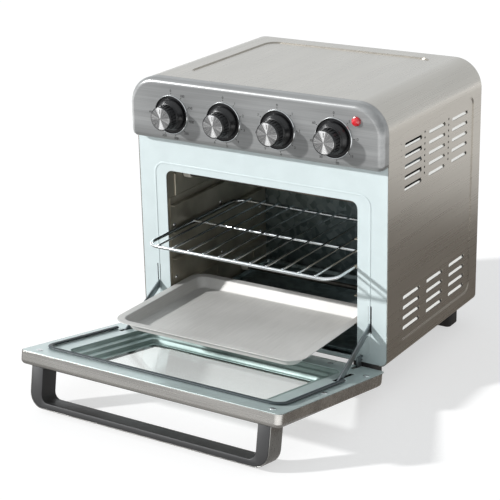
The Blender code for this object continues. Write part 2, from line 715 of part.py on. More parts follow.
def baking_tray():
    top = LEDGE_TOPS[0] + GAP + TRAY_SHEET / 2
    half = TRAY_WIDTH / 2
    steps = [(TRAY_SHEET / 2, top), (TRAY_RIM - 0.0015, top), (TRAY_RIM, top - 0.0010),
             (TRAY_RIM + TRAY_SLOPE - 0.0020, top - TRAY_DEPTH + 0.0030),
             (TRAY_RIM + TRAY_SLOPE + 0.0010, top - TRAY_DEPTH)]
    rings = tray_rings((-half, -TRAY_OUT), (half, -TRAY_OUT + TRAY_LENGTH), TRAY_RADIUS, steps)
    tray = add("baking_tray", loft_mesh("tray", rings), lambda n: finish(n, (0.70, 0.69, 0.67), 0.35, 1.0),
               OVEN_FRAME)
    return smooth(thicken(tray, TRAY_SHEET), 50)


def crumb_tray():
    low = OPENING_BOTTOM + PLAY + CRUMB_SHEET / 2
    half = CAVITY_HALF - 0.004
    steps = [(CRUMB_SHEET / 2, low + CRUMB_WALL), (0.0030, low + CRUMB_WALL), (0.0045, low)]
    rings = tray_rings((-half, 0.0030), (half, 0.0030 + CRUMB_LENGTH), 0.008, steps)
    tray = add("crumb_tray", loft_mesh("crumbs", rings), zinc_steel, OVEN_FRAME)
    return smooth(thicken(tray, CRUMB_SHEET), 50)


# ---- door ---------------------------------------------------------------------------------------
def door_outline(inset, steps=5):
    side = DOOR_WIDTH / 2 - inset
    hinge = max(DOOR_HINGE_RADIUS - inset, 0.001)
    top = max(DOOR_TOP_RADIUS - inset, 0.001)
    return rounded((-side, DOOR_START + inset), (side, DOOR_END - inset), (hinge, hinge, top, top), steps)


def window_outline(inset, steps=5):
    low, high = WINDOW_FROM_END
    side = WINDOW_HALF_WIDTH - inset
    radius = max(WELL_RADIUS - inset / 3, 0.002)
    return rounded((-side, DOOR_START + low + inset), (side, DOOR_START + high - inset), radius, steps)


def in_door(outline, y):
    return [(u, y, v) for u, v in outline]


def hinge_notches():
    deep = OUTER_FACE + 0.005
    boxes = []
    for side in (-1, 1):
        near, far = sorted((side * (HINGE_X - 0.003), side * (HINGE_X + 0.003)))
        boxes.append(((near, deep, DOOR_START - 0.005), (far, INNER_FACE + 0.010, DOOR_START + 0.022)))
    return boxes


def screw_places():
    z = DOOR_END - HANDLE_FROM_TOP - HANDLE_DEPTH / 2
    return [(side * (HANDLE_HALF_WIDTH - HANDLE_ARM / 2), z) for side in (-1, 1)]


def door_pan():
    """The stainless outer face, folded back round all four sides, with the window cut in it."""
    half_sheet = DOOR_WALL / 2
    rings = [in_door(door_outline(half_sheet), INNER_FACE - 0.0005)]
    face = OUTER_FACE + half_sheet
    radius = DOOR_EDGE_RADIUS
    steps = 4
    for step in range(steps + 1):
        angle = math.radians(90 * step / steps)
        inset = half_sheet + radius * (1 - math.cos(angle))
        rings.append(in_door(door_outline(inset), face + radius * (1 - math.sin(angle))))
    rings.append(in_door(window_outline(WELL_STEPS * WELL_LEDGE), face))
    pan = add("door_pan", loft_mesh("pan", rings, fill_last=False), stainless, DOOR_FRAME)
    thicken(pan, DOOR_WALL)
    cut(pan, boxes_mesh("hinge_notches", hinge_notches()))
    ends = (OUTER_FACE - 0.004, OUTER_FACE + 0.004)
    cut(pan, rods_mesh("screw_holes", "y", ends, screw_places(), 0.0024, 16))
    return smooth(pan)


def door_inner_panel():
    loops = [door_outline(DOOR_WALL + GAP), window_outline(0)]
    low, high = ARM_PIVOT[0] - 0.040, ARM_PIVOT[0] + 0.010
    for side in (-1, 1):
        middle = side * ARM_X
        loops.append(rounded((middle - 0.003, DOOR_START + low), (middle + 0.003, DOOR_START + high), 0.0015, 2))
    mesh = outline_mesh("inner_panel", loops, "y", INNER_FACE - DOOR_WALL, INNER_FACE)
    panel = add("door_inner_panel", mesh, pale_enamel, DOOR_FRAME)
    return cut(panel, boxes_mesh("hinge_notches", hinge_notches()))


def window_surround():
    """The stepped well between the inner panel and the glass."""
    half_sheet = DOOR_WALL / 2
    y = INNER_FACE - DOOR_WALL - GAP - half_sheet
    inset = -0.005
    rings = [in_door(window_outline(inset), y)]
    inset = GAP + half_sheet
    for step in range(WELL_STEPS):
        rings.append(in_door(window_outline(inset), y))
        y -= WELL_DROP - (0.0010 if step == WELL_STEPS - 1 else 0)
        inset += 0.0015
        rings.append(in_door(window_outline(inset), y))
        inset += WELL_LEDGE - 0.0015
    rings.append(in_door(window_outline(inset - 0.002), y))
    surround = add("window_surround", loft_mesh("well", rings, fill_last=False),
                   lambda n: finish(n, (0.16, 0.20, 0.19), 0.35, 0.2), DOOR_FRAME)
    return smooth(thicken(surround, DOOR_WALL))


def door_glass():
    back = OUTER_FACE + DOOR_WALL + GAP
    loop = window_outline(WELL_STEPS * WELL_LEDGE - 0.009)
    mesh = outline_mesh("glass", [loop], "y", back, back + GLASS_THICKNESS)
    return add("door_glass", mesh, lambda n: finish(n, (0.75, 0.82, 0.80), 0.05, 0.0), DOOR_FRAME)


def door_gasket():
    """A silicone seal in a U, open at the hinge side."""
    side = GASKET_HALF_WIDTH
    front = DOOR_START + GASKET_FRONT
    end = DOOR_START + GASKET_END
    half = GASKET_WIDTH / 2
    bend = 0.016

    def path(offset):
        outline = rounded((-side - offset, end), (side + offset, front + offset),
                          (0.0001, 0.0001, bend + offset, bend + offset), 6)
        return outline[7:]

    mesh = outline_mesh("gasket", [[(side + half, end)] + path(half)[7:21] + [(-side - half, end)]
                                   + [(-side + half, end)] + path(-half)[7:21][::-1] + [(side - half, end)]],
                        "y", INNER_FACE + GAP, INNER_FACE + GAP + GASKET_HEIGHT)
    return add("door_gasket", mesh, lambda n: finish(n, (0.02, 0.02, 0.02), 0.6, 0.0), DOOR_FRAME)


def handle_path(offset, start):
    """The outer side of the handle's U at a distance inside its trim, from one arm to the other."""
    side = HANDLE_HALF_WIDTH - offset
    far = INNER_FACE - HANDLE_REACH + offset
    ring = rounded((-side, far), (side, far + 0.2), HANDLE_RADIUS - offset, 6)
    return [(-side, start)] + ring[:14] + [(side, start)]


def handle():
    start = OUTER_FACE - GAP
    low, high = DOOR_END - HANDLE_FROM_TOP - HANDLE_DEPTH, DOOR_END - HANDLE_FROM_TOP
    skin = TRIM + GAP
    outer = handle_path(skin, start)
    side = HANDLE_HALF_WIDTH - HANDLE_ARM
    far = INNER_FACE - HANDLE_REACH + HANDLE_BAR
    bend = 0.010
    inner = rounded((-side, far), (side, far + 0.2), bend, 6)
    inner = [(-side, start)] + inner[:14] + [(side, start)]
    # In the door's frame the outline lies across Z, with the room in front of the door towards -Y.
    grip = add("handle_grip", outline_mesh("grip", [outer + inner[::-1]], "z", low, high), black_plastic, DOOR_FRAME)
    cut(grip, rods_mesh("pilots", "y", (start - 0.016, start + 0.005), screw_places(), 0.0024, 16))
    smooth(grip)
    strip = handle_path(0, start) + handle_path(TRIM, start)[::-1]
    smooth(add("handle_trim", outline_mesh("trim", [strip], "z", low, high), stainless, DOOR_FRAME))
    for place, across in zip(screw_places(), ("left", "right")):
        inside = OUTER_FACE + DOOR_WALL + GAP
        profile = [(0, inside + 0.0028), (0.0030, inside + 0.0028), (0.0040, inside + 0.0018), (0.0040, inside),
                   (0.0020, inside), (0.0020, start - 0.014), (0, start - 0.014)]
        turned(f"{across}_handle_screw", profile, zinc_steel, DOOR_FRAME, (place[0], 0, place[1]),
               (math.radians(-90), 0, 0), 16)


# ---- hinges -------------------------------------------------------------------------------------
def hinges():
    axis_y, axis_z = HINGE_AXIS
    lug = 0.0048
    for side, across in ((-1, "left"), (1, "right")):
        near, far = sorted((side * (HINGE_X - 0.001), side * (HINGE_X + 0.001)))
        floor = BODY_BOTTOM + 0.0036
        plate = [(axis_y + lug * math.cos(math.radians(a)), axis_z + lug * math.sin(math.radians(a)))
                 for a in range(180, 361, 30)]
        plate += [(-0.0010, axis_z + 0.0016), (-0.0010, floor), (0.0160, floor), (0.0160, floor + 0.030),
                  (0.0020, floor + 0.030), (0.0020, floor + 0.0070), (axis_y - lug, floor + 0.0070)]
        bracket = add(f"{across}_hinge_bracket", outline_mesh("bracket", [plate], "x", near, far), zinc_steel,
                      OVEN_FRAME)
        cut(bracket, rods_mesh("bore", "x", (near - 0.002, far + 0.002), [(axis_y, axis_z)],
                               PIN_RADIUS + RUNNING, 16))
        # The stud: a block inside the door with a pin that turns in the bracket.
        start, stop = HINGE_X + 0.0033, HINGE_X + 0.0133
        near, far = sorted((side * start, side * stop))
        block = box_mesh("block", (near, OUTER_FACE + 0.0055, DOOR_START + DOOR_WALL + 0.0015),
                         (far, INNER_FACE - DOOR_WALL - GAP, 0.0100))
        stud = add(f"{across}_hinge_stud", block, zinc_steel, DOOR_FRAME)
        near, far = sorted((side * (HINGE_X - 0.0025), side * (start + 0.004)))
        join(stud, rods_mesh("pin", "x", (near, far), [(0, 0)], PIN_RADIUS, 16))
        hinge_arm(side, across)


def hinge_arm(side, across):
    """A link pivoted inside the door, whose far end runs through the slot in the front plate."""
    pivot = bpy.data.objects.new(f"{across}_arm_pivot", None)
    OVEN.objects.link(pivot)
    pivot.parent = DOOR_FRAME
    pivot.location = (0, INNER_FACE - ARM_PIVOT[1], DOOR_START + ARM_PIVOT[0])
    # The door's frame is turned by its opening angle, and the arm stands at its own angle to level.
    pivot.rotation_euler = (math.radians(ARM_ANGLE - DOOR_OPEN), 0, 0)
    half = ARM_HEIGHT / 2
    near, far = sorted((side * ARM_X - ARM_THICKNESS / 2, side * ARM_X + ARM_THICKNESS / 2))
    loop = [(half * math.cos(math.radians(a)), half * math.sin(math.radians(a))) for a in range(90, 271, 30)]
    tip = ARM_LENGTH
    loop += [(tip - 0.004, -half), (tip, -half + 0.003), (tip, half - 0.002), (tip - 0.003, half)]
    arm = add(f"{across}_hinge_arm", outline_mesh("arm", [loop], "x", near, far), zinc_steel, pivot)
    return cut(arm, rods_mesh("eye", "x", (near - 0.002, far + 0.002), [(0, 0)], 0.0018, 12))


# ---- the whole oven -----------------------------------------------------------------------------
def set_origin_at_bottom_centre():
    bpy.context.view_layer.update()
    graph = bpy.context.evaluated_depsgraph_get()
    ys = []
    for item in OVEN.objects:
        if item.type == "MESH":
            evaluated = item.evaluated_get(graph)
            mesh = evaluated.to_mesh()
            ys += [(evaluated.matrix_world @ vertex.co).y for vertex in mesh.vertices]
            evaluated.to_mesh_clear()
    OVEN_FRAME.location.y = -(min(ys) + max(ys)) / 2


clear_scene()
OVEN = new_collection("toaster_oven")
CUTTERS = new_collection("cutters")
CUTTERS.hide_render = True

OVEN_FRAME = bpy.data.objects.new("oven_frame", None)
OVEN.objects.link(OVEN_FRAME)
DOOR_FRAME = bpy.data.objects.new("door_axis", None)
OVEN.objects.link(DOOR_FRAME)
DOOR_FRAME.parent = OVEN_FRAME
DOOR_FRAME.location = (0, *HINGE_AXIS)
DOOR_FRAME.rotation_euler = (math.radians(DOOR_OPEN), 0, 0)

outer_shell()
front_plate()
control_panel()
base_plate()
rear_cover()
cord_gland()
feet()
cavity()
shelf_guides()
heaters()
fan()
controls()
indicator_lens()
wire_rack()
baking_tray()
crumb_tray()
door_pan()
door_inner_panel()
window_surround()
door_glass()
door_gasket()
handle()
hinges()
set_origin_at_bottom_centre()
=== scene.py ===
import json
import math

import bmesh
import bpy
from mathutils import Matrix, Vector


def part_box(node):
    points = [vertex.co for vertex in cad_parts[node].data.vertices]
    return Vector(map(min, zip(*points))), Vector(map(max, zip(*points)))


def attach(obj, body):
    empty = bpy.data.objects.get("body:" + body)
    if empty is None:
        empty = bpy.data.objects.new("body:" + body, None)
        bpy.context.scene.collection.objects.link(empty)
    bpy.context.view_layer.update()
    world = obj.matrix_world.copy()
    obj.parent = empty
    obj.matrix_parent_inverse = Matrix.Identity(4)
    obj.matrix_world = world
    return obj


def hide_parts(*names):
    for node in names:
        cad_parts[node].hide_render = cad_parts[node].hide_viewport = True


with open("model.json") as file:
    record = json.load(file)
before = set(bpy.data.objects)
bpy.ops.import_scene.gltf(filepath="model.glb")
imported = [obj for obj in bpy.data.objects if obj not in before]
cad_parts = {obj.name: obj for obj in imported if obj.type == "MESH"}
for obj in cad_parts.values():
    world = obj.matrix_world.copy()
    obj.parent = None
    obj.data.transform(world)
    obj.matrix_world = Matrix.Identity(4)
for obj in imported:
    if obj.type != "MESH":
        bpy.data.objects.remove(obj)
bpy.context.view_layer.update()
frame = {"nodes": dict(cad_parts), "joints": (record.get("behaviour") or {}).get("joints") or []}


# ---- Outer shell --------------------------------------------------------------------------------
# One wrap of 1 mm stainless sheet, brushed from front to back, folded over the top and both sides
# and turned in under the base. Shallow panels are pressed into its sides and its top.
def take_up(*pieces):
    """Leaves object mode and selects only these pieces, the last one active."""
    if bpy.context.mode != "OBJECT":
        bpy.ops.object.mode_set(mode="OBJECT")
    bpy.ops.object.select_all(action="DESELECT")
    for piece in pieces:
        piece.select_set(True)
    if pieces:
        bpy.context.view_layer.objects.active = pieces[-1]


def settle(piece, name=None):
    """Moves a piece's place, turn and size into its mesh."""
    take_up(piece)
    bpy.ops.object.transform_apply(location=True, rotation=True, scale=True)
    if name:
        piece.name = piece.data.name = name
    return piece


def block(name, low, high):
    take_up()
    low, high = Vector(low), Vector(high)
    bpy.ops.mesh.primitive_cube_add(size=1, location=(low + high) / 2)
    bpy.context.object.scale = high - low
    return settle(bpy.context.object, name)


def choose(piece, kind, test):
    """Selects the corners, edges or faces whose middle, and normal or direction, pass the test."""
    if bpy.context.edit_object != piece:
        take_up(piece)
        bpy.ops.object.mode_set(mode="EDIT")
    bpy.ops.mesh.select_mode(type=kind)
    bpy.ops.mesh.select_all(action="DESELECT")
    form = bmesh.from_edit_mesh(piece.data)
    form.normal_update()
    if kind == "VERT":
        found = [(corner, corner.co, corner.normal) for corner in form.verts]
    elif kind == "EDGE":
        found = []
        for edge in form.edges:
            one, other = (corner.co for corner in edge.verts)
            found.append((edge, (one + other) / 2, (other - one).normalized()))
    else:
        found = [(face, face.calc_center_median(), face.normal) for face in form.faces]
    for item, place, way in found:
        if test(place, way):
            item.select_set(True)
    bmesh.update_edit_mesh(piece.data)


def everything(place, way):
    return True


def modify(piece, kind, **settings):
    take_up(piece)
    change = piece.modifiers.new(kind.lower(), kind)
    for name, value in settings.items():
        setattr(change, name, value)
    bpy.ops.object.modifier_apply(modifier=change.name)
    return piece


def cut(piece, tool, operation="DIFFERENCE"):
    modify(piece, "BOOLEAN", object=tool, operation=operation, solver="EXACT")
    bpy.data.objects.remove(tool, do_unlink=True)
    return piece


def round_block(name, low, high, radius, axis=0, segments=6):
    """A block whose four edges along one axis are rounded."""
    piece = block(name, low, high)
    choose(piece, "EDGE", lambda place, way: abs(way[axis]) > 0.99)
    bpy.ops.mesh.bevel(offset=radius, segments=segments, affect="EDGES")
    take_up(piece)
    return piece


def joined(name, pieces):
    take_up(*pieces)
    bpy.ops.object.join()
    return settle(bpy.context.object, name)


def copy_of(piece, offset=(0, 0, 0)):
    take_up(piece)
    bpy.ops.object.duplicate()
    copy = bpy.context.object
    copy.location = offset
    return settle(copy)


def repeat(piece, offsets):
    """Copies a piece to each offset and joins the copies into one mesh."""
    name = piece.name
    made = [copy_of(piece, offset) for offset in offsets]
    bpy.data.objects.remove(piece, do_unlink=True)
    return joined(name, made)


def soften(piece, width, segments=2, angle=30):
    return modify(piece, "BEVEL", width=width, segments=segments, limit_method="ANGLE",
                  angle_limit=math.radians(angle), use_clamp_overlap=True)


class Wire:
    """A shader socket: arithmetic on it adds Math nodes, and node() adds any other node."""

    def __init__(self, tree, socket=None):
        self.tree, self.socket = tree, socket

    def node(self, kind, settings=None, out=0, **inputs):
        made = self.tree.nodes.new("ShaderNode" + kind)
        for name, value in (settings or {}).items():
            if name == "stops":
                ramp = made.color_ramp
                while len(ramp.elements) < len(value):
                    ramp.elements.new(0.5)
                for element, (place, colour) in zip(ramp.elements, value):
                    element.position, element.color = place, (*colour, 1)
            else:
                setattr(made, name, value)
        for name, value in inputs.items():
            socket = self.find(made.inputs, name)
            if isinstance(value, Wire):
                self.tree.links.new(value.socket, socket)
            else:
                socket.default_value = (*value, 1) if socket.type == "RGBA" else value
        return Wire(self.tree, self.find(made.outputs, out) if len(made.outputs) else None)

    @staticmethod
    def find(sockets, name):
        if isinstance(name, int):
            return sockets[name]
        return next(s for s in sockets if name in (s.identifier, s.name.replace(" ", "_")))

    def maths(self, operation, other, flip=False):
        one, two = (other, self) if flip else (self, other)
        return self.node("Math", {"operation": operation}, Value=one, Value_001=two)

    def __add__(self, other):
        return self.maths("ADD", other)

    def __sub__(self, other):
        return self.maths("SUBTRACT", other)

    def __rsub__(self, other):
        return self.maths("SUBTRACT", other, flip=True)

    def __mul__(self, other):
        return self.maths("MULTIPLY", other)

    def __truediv__(self, other):
        return self.maths("DIVIDE", other)

    def __pow__(self, other):
        return self.maths("POWER", other)

    def __gt__(self, other):
        return self.maths("GREATER_THAN", other)

    __radd__, __rmul__ = __add__, __mul__

    def clamp(self, low, high):
        """How far this value is from low to high, as 0 to 1."""
        return self.node("MapRange", {"interpolation_type": "SMOOTHSTEP"}, Value=self, From_Min=low,
                         From_Max=high)

    def between(self, one, other):
        """A colour that goes from one to the other as this value goes from 0 to 1."""
        return self.node("Mix", {"data_type": "RGBA"}, "Result_Color",
                         Factor_Float=self, A_Color=one, B_Color=other)

    def noise(self, scale, detail=2.0, stretch=(1, 1, 1)):
        """Noise on this place, drawn out where a stretch is small."""
        place = self.node("Mapping", Vector=self, Scale=stretch)
        return self.node("TexNoise", out="Fac", Vector=place, Scale=scale, Detail=detail)

    def relief(self, depth, strength=1.0):
        return self.node("Bump", out="Normal", Height=self, Distance=depth, Strength=strength)


def tone(*levels):
    """A colour given as screen levels from 0 to 255."""
    return tuple(round(((level / 255 + 0.055) / 1.055) ** 2.4, 4) if level > 10 else level / 3294
                 for level in levels)


def shaded(colour, share):
    return tuple(level * share for level in colour)


def new_finish(name):
    """A material with no nodes yet, and the place on the object that its patterns read."""
    material = bpy.data.materials.new(name)
    material.use_nodes = True
    material.node_tree.nodes.clear()
    return material, Wire(material.node_tree).node("TexCoord", out="Object")


def coat(material, place, **inputs):
    place.node("OutputMaterial", Surface=place.node("BsdfPrincipled", **inputs))
    return material


def brushed(name, run, colour, rough=0.33, metal=0.8, patches=0.16, depth=0.000012):
    """Brushed sheet: fine scratches and slow patches drawn out along one axis, 0, 1 or 2."""
    material, place = new_finish(name)

    def drawn(along, across):
        return tuple(along if axis == run else across for axis in range(3))

    fine = place.noise(1, 3, drawn(9, 1500))
    streak = place.noise(1, 3, drawn(4, 240))
    patch = place.noise(1, 2, drawn(6, 34))
    mark = 0.45 * fine + 0.55 * streak
    level = (0.5 * mark + 0.5 * patch).clamp(0.3, 0.7)
    shade = level.between(shaded(colour, 1 - patches), shaded(colour, 1 + patches))
    return coat(material, place, Base_Color=shade, Metallic=metal,
                Roughness=rough + 0.08 * (mark - 0.5), Normal=mark.relief(depth, 0.2))


def fit(piece, body, slot, material, *nodes, angle=30, flat=False):
    """Shades and paints a finished piece, hangs it on its body and hides the nodes it stands for.
    A flat piece has its broad faces shaded level, with the bend kept in its small edge faces."""
    take_up(piece)
    bpy.ops.object.shade_smooth_by_angle(angle=math.radians(angle))
    if flat:
        modify(piece, "WEIGHTED_NORMAL", keep_sharp=True, weight=90)
    piece.data.materials.clear()
    piece.data.materials.append(material)
    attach(piece, body)
    if nodes:
        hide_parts(*nodes)
    return piece


shell_low, shell_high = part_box("outer_shell")
plate_y = shell_low.y           # outer face of the front plate; depths below are from it
shell_wall = 0.001
steel_tone = tone(180, 176, 169)
shell_steel = brushed("shell_steel", 1, steel_tone, rough=0.28, metal=0.88, patches=0.05, depth=0.000003)

shell = block("shell_wrap", shell_low, shell_high)
for top, radius, segments in ((True, 0.040, 16), (False, 0.010, 6)):
    choose(shell, "EDGE", lambda place, way: abs(way.y) > 0.99 and (place.z > 0.2) == top)
    bpy.ops.mesh.bevel(offset=radius, segments=segments, affect="EDGES")
press = 0.0011
for share, lip in ((0.5, 0.0016), (1.0, 0)):
    for side in (-1, 1):
        near, far = sorted((side * (shell_high.x - press * share), side * 0.25))
        cut(shell, round_block("side_pad", (near, plate_y + 0.0350 - lip, 0.0570 - lip),
                               (far, plate_y + 0.2470 + lip, 0.3360 + lip), 0.011 + lip))
    cut(shell, round_block("top_pad", (-0.1275 - lip, plate_y + 0.0350 - lip, shell_high.z - 0.0015 * share),
                           (0.1275 + lip, plate_y + 0.2460 + lip, 0.5), 0.016 + lip, axis=2))
choose(shell, "FACE", lambda place, way: abs(way.y) > 0.99
       and not shell_low.y + 0.002 < place.y < shell_high.y - 0.002)
bpy.ops.mesh.delete(type="FACE")
for side in (-1, 1):
    choose(shell, "FACE", everything)
    bpy.ops.mesh.bisect(plane_co=(side * (shell_high.x - 0.012), 0, 0), plane_no=(1, 0, 0))
choose(shell, "FACE", lambda place, way: place.z < 0.034 and abs(place.x) < shell_high.x - 0.013)
bpy.ops.mesh.delete(type="FACE")
modify(shell, "SOLIDIFY", thickness=shell_wall, offset=-1, use_even_offset=True)

# ---- Louvres ------------------------------------------------------------------------------------
# Rows of cooling slots punched through both sides of the wrap. The strip below each cut is bent
# inwards, and each upper column is edged with a line of small round holes.
louvre_length = 0.0483
column_pitch, row_pitch = 0.0689, 0.0142
upper_rows = [0.3212 - row_pitch * row for row in range(5)]
lower_rows = [0.1163 - row_pitch * row for row in range(4)]
slots = []
for number, front in enumerate(plate_y + 0.0455 + column_pitch * column for column in range(3)):
    for top in upper_rows + lower_rows:
        height = 0.0053 if top < 0.2 else 0.0062 if number == 0 else 0.0046
        slots.append((front, top, height, 0.4 if number == 0 and top > 0.2 else 0.94))
holes = [(plate_y + y, 0.3225 - 0.0078 * number) for y in (0.0345, 0.1020, 0.1725) for number in range(8)]
reach = shell_high.x + 0.01
punches = [round_block("slot", (-reach, front, top - height), (reach, front + louvre_length, top),
                       height * 0.42, segments=3) for front, top, height, _ in slots]
for y, z in holes:
    take_up()
    bpy.ops.mesh.primitive_cylinder_add(vertices=10, radius=0.0016, depth=2 * reach, location=(0, y, z),
                                        rotation=(0, math.pi / 2, 0))
    punches.append(settle(bpy.context.object, "hole"))
cut(shell, joined("punches", punches))
soften(shell, 0.0003, 2, 50)
fit(shell, "housing", "brushed_stainless", shell_steel, "outer_shell", angle=35, flat=True)

# Painted highlight: the blades are the shell's own steel but get a much lighter tone, standing in for the
# light that the bent strips catch.
louvre_painted_highlight_steel = brushed("louvre_steel", 1, tone(236, 234, 229), rough=0.26, metal=0.85, patches=0.06)
blades = []
for front, top, height, share in slots:
    low = top - height
    blade = block("blade", (-0.0004, front - 0.0006, 0),
                  (0.0004, front + louvre_length + 0.0006, height * share * 1.12))
    blade.rotation_euler.y = math.radians(-27)
    blade.location = (shell_high.x - press - shell_wall - 0.0002, 0, low - 0.0006)
    settle(blade)
    choose(blade, "EDGE", lambda place, way: abs(way.x) > 0.5 and place.z > low + height * share * 0.5)
    bpy.ops.mesh.bevel(offset=0.0012, segments=2, affect="EDGES")
    take_up(blade)
    blades.append(blade)
louvres = modify(joined("louvre_blades", blades), "MIRROR")
fit(louvres, "housing", "brushed_stainless", louvre_painted_highlight_steel)

# ---- Front plate --------------------------------------------------------------------------------
# The plate behind the control panel and round the oven's mouth: smooth, pale coated steel, with a
# low bead pressed round the opening and a slot on each side for the hinge arm.
def pale(name, colour, rough=0.36, metal=0.25):
    """Coated sheet with a faint mottle and a soft gloss."""
    material, place = new_finish(name)
    mottle = place.noise(45, 3)
    grain = place.noise(900, 2)
    return coat(material, place, Base_Color=mottle.clamp(0.3, 0.7).between(shaded(colour, 0.965), colour),
                Metallic=metal, Roughness=rough + 0.10 * (mottle - 0.5), Normal=grain.relief(0.00008, 0.25))


def repaint(material, *nodes):
    """Gives CAD nodes a better finish and leaves their shapes alone."""
    for node in nodes:
        for number in range(len(frame["nodes"][node].material_slots)):
            frame["nodes"][node].material_slots[number].material = material


def rounded_frame(name, low, high, radius, width, depth, segments=8):
    """A flat strip round a rounded rectangle in the plane of the front, its front edges softened."""
    frame_strip = round_block(name, (low[0], low[1] - depth, low[2]), (high[0], low[1], high[2]),
                              radius, 1, segments)
    inner = round_block("inner", (low[0] + width, low[1] - 2 * depth, low[2] + width),
                        (high[0] - width, low[1] + depth, high[2] - width), radius - width, 1, segments)
    return soften(cut(frame_strip, inner), depth * 0.7, 3, 40)


plate_pale = pale("plate_pale", tone(200, 211, 212), metal=0.15)
repaint(plate_pale, "front_plate")
bead = rounded_frame("plate_bead", (-0.1655, plate_y, 0.0375), (0.1655, plate_y, 0.2620),
                     radius=0.016, width=0.0026, depth=0.0005)
fit(bead, "housing", "pale_steel", plate_pale)

# ---- Control panel ------------------------------------------------------------------------------
# A shallow pressed tray of brushed stainless, drawn from one sheet with a soft edge all round. The
# knobs, the lamp and the printed dials sit on its face.
panel_low, panel_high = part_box("control_panel")
panel_face = panel_low.y
panel_steel = brushed("panel_steel", 0, tone(144, 145, 145), rough=0.29, metal=0.45, patches=0.24)
panel = block("panel_face", panel_low, panel_high)
for top, radius, segments in ((True, 0.040, 16), (False, 0.009, 8)):
    choose(panel, "EDGE", lambda place, way: abs(way.y) > 0.99 and (place.z > 0.34) == top)
    bpy.ops.mesh.bevel(offset=radius, segments=segments, affect="EDGES")
choose(panel, "FACE", lambda place, way: way.y < -0.99)
bpy.ops.mesh.region_to_loop()
bpy.ops.mesh.bevel(offset=0.0078, segments=7, affect="EDGES")
choose(panel, "FACE", lambda place, way: way.y > 0.99)
bpy.ops.mesh.delete(type="FACE")
modify(panel, "SOLIDIFY", thickness=0.0012, offset=-1, use_even_offset=True)
knob_names = ("temperature", "function", "toast_timer", "fry_timer")
knob_centres = {}
for name in knob_names:
    low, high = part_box(name + "_knob_cap")
    knob_centres[name] = ((low.x + high.x) / 2, (low.z + high.z) / 2)
lens_low, lens_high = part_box("indicator_lens")
lens_x, lens_z = (lens_low.x + lens_high.x) / 2, (lens_low.z + lens_high.z) / 2
drills = []
for (x, z), radius in [(centre, 0.0045) for centre in knob_centres.values()] + [((lens_x, lens_z), 0.0047)]:
    take_up()
    bpy.ops.mesh.primitive_cylinder_add(vertices=24, radius=radius, depth=0.02, location=(x, panel_face, z),
                                        rotation=(math.pi / 2, 0, 0))
    drills.append(settle(bpy.context.object, "drill"))
cut(panel, joined("drills", drills))
fit(panel, "housing", "brushed_stainless", panel_steel, "control_panel", angle=25, flat=True)


# ---- Dial rings ---------------------------------------------------------------------------------
# Round each knob a low chromed ring frames a black well, painted shade that stands for the dark groove
# round the knob. Both are pressed into the panel's face before the knob goes on.
def turned(name, profile, sides=64, centre=(0, 0, 0), facing=(math.pi / 2, 0, 0)):
    """A round piece raised ring by ring from (radius, distance along the axis) pairs, poles closed.
    Its axis stands up before it is turned; the turn given here makes it face the front."""
    take_up()
    bpy.ops.mesh.primitive_circle_add(vertices=sides, radius=profile[0][0], location=(0, 0, profile[0][1]))
    piece = settle(bpy.context.object, name)
    choose(piece, "EDGE", everything)
    for (before, start), (radius, stop) in zip(profile, profile[1:]):
        if radius == 0:
            bpy.ops.mesh.extrude_region_move(TRANSFORM_OT_translate={"value": (0, 0, stop - start)})
            bpy.ops.mesh.merge(type="CENTER")
            break
        bpy.ops.mesh.extrude_region_move(TRANSFORM_OT_translate={"value": (0, 0, stop - start)})
        bpy.ops.transform.resize(value=(radius / before, radius / before, 1), center_override=(0, 0, stop))
    choose(piece, "EDGE", everything)
    bpy.ops.mesh.remove_doubles(threshold=1e-6)
    bpy.ops.mesh.fill_holes(sides=0)
    bpy.ops.mesh.normals_make_consistent(inside=False)
    take_up(piece)
    piece.rotation_euler, piece.location = facing, centre
    return settle(piece)


chrome, place = new_finish("chrome")
coat(chrome, place, Base_Color=tone(205, 207, 208), Metallic=1.0, Roughness=0.10 + 0.08 * place.noise(260, 2))
black_gloss, place = new_finish("knob_black")
grain = place.noise(1400, 2)
blacks = (0.006, 0.006, 0.007), (0.011, 0.011, 0.012)
coat(black_gloss, place, Base_Color=place.noise(60, 2).clamp(0.2, 0.8).between(*blacks),
     Roughness=0.24 + 0.08 * grain, Normal=grain.relief(0.00005, 0.2), Specular_IOR_Level=0.42)

ring_profile = [(0.0249, 0.0002), (0.0249, 0.0016), (0.0252, 0.0021), (0.0256, 0.0022), (0.0260, 0.0018),
                (0.0262, 0.0011), (0.0263, 0.0002), (0.0249, 0.0002)]
ring = turned("dial_rings", ring_profile, 96)
rings = repeat(ring, [(x, panel_face, z) for x, z in knob_centres.values()])
fit(rings, "housing", "satin_metal", chrome)
# Painted shade: a thin black disc on the panel's face where the groove round each knob lies dark.
painted_shade_profile = [(0.0052, 0.0001), (0.0052, 0.0004), (0.0240, 0.0004), (0.0248, 0.0012), (0.0248, 0.0001),
                (0.0052, 0.0001)]
well = turned("dial_wells", painted_shade_profile, 72)
painted_shade_wells = repeat(well, [(x, panel_face, z) for x, z in knob_centres.values()])
fit(painted_shade_wells, "housing", "black_plastic", black_gloss)

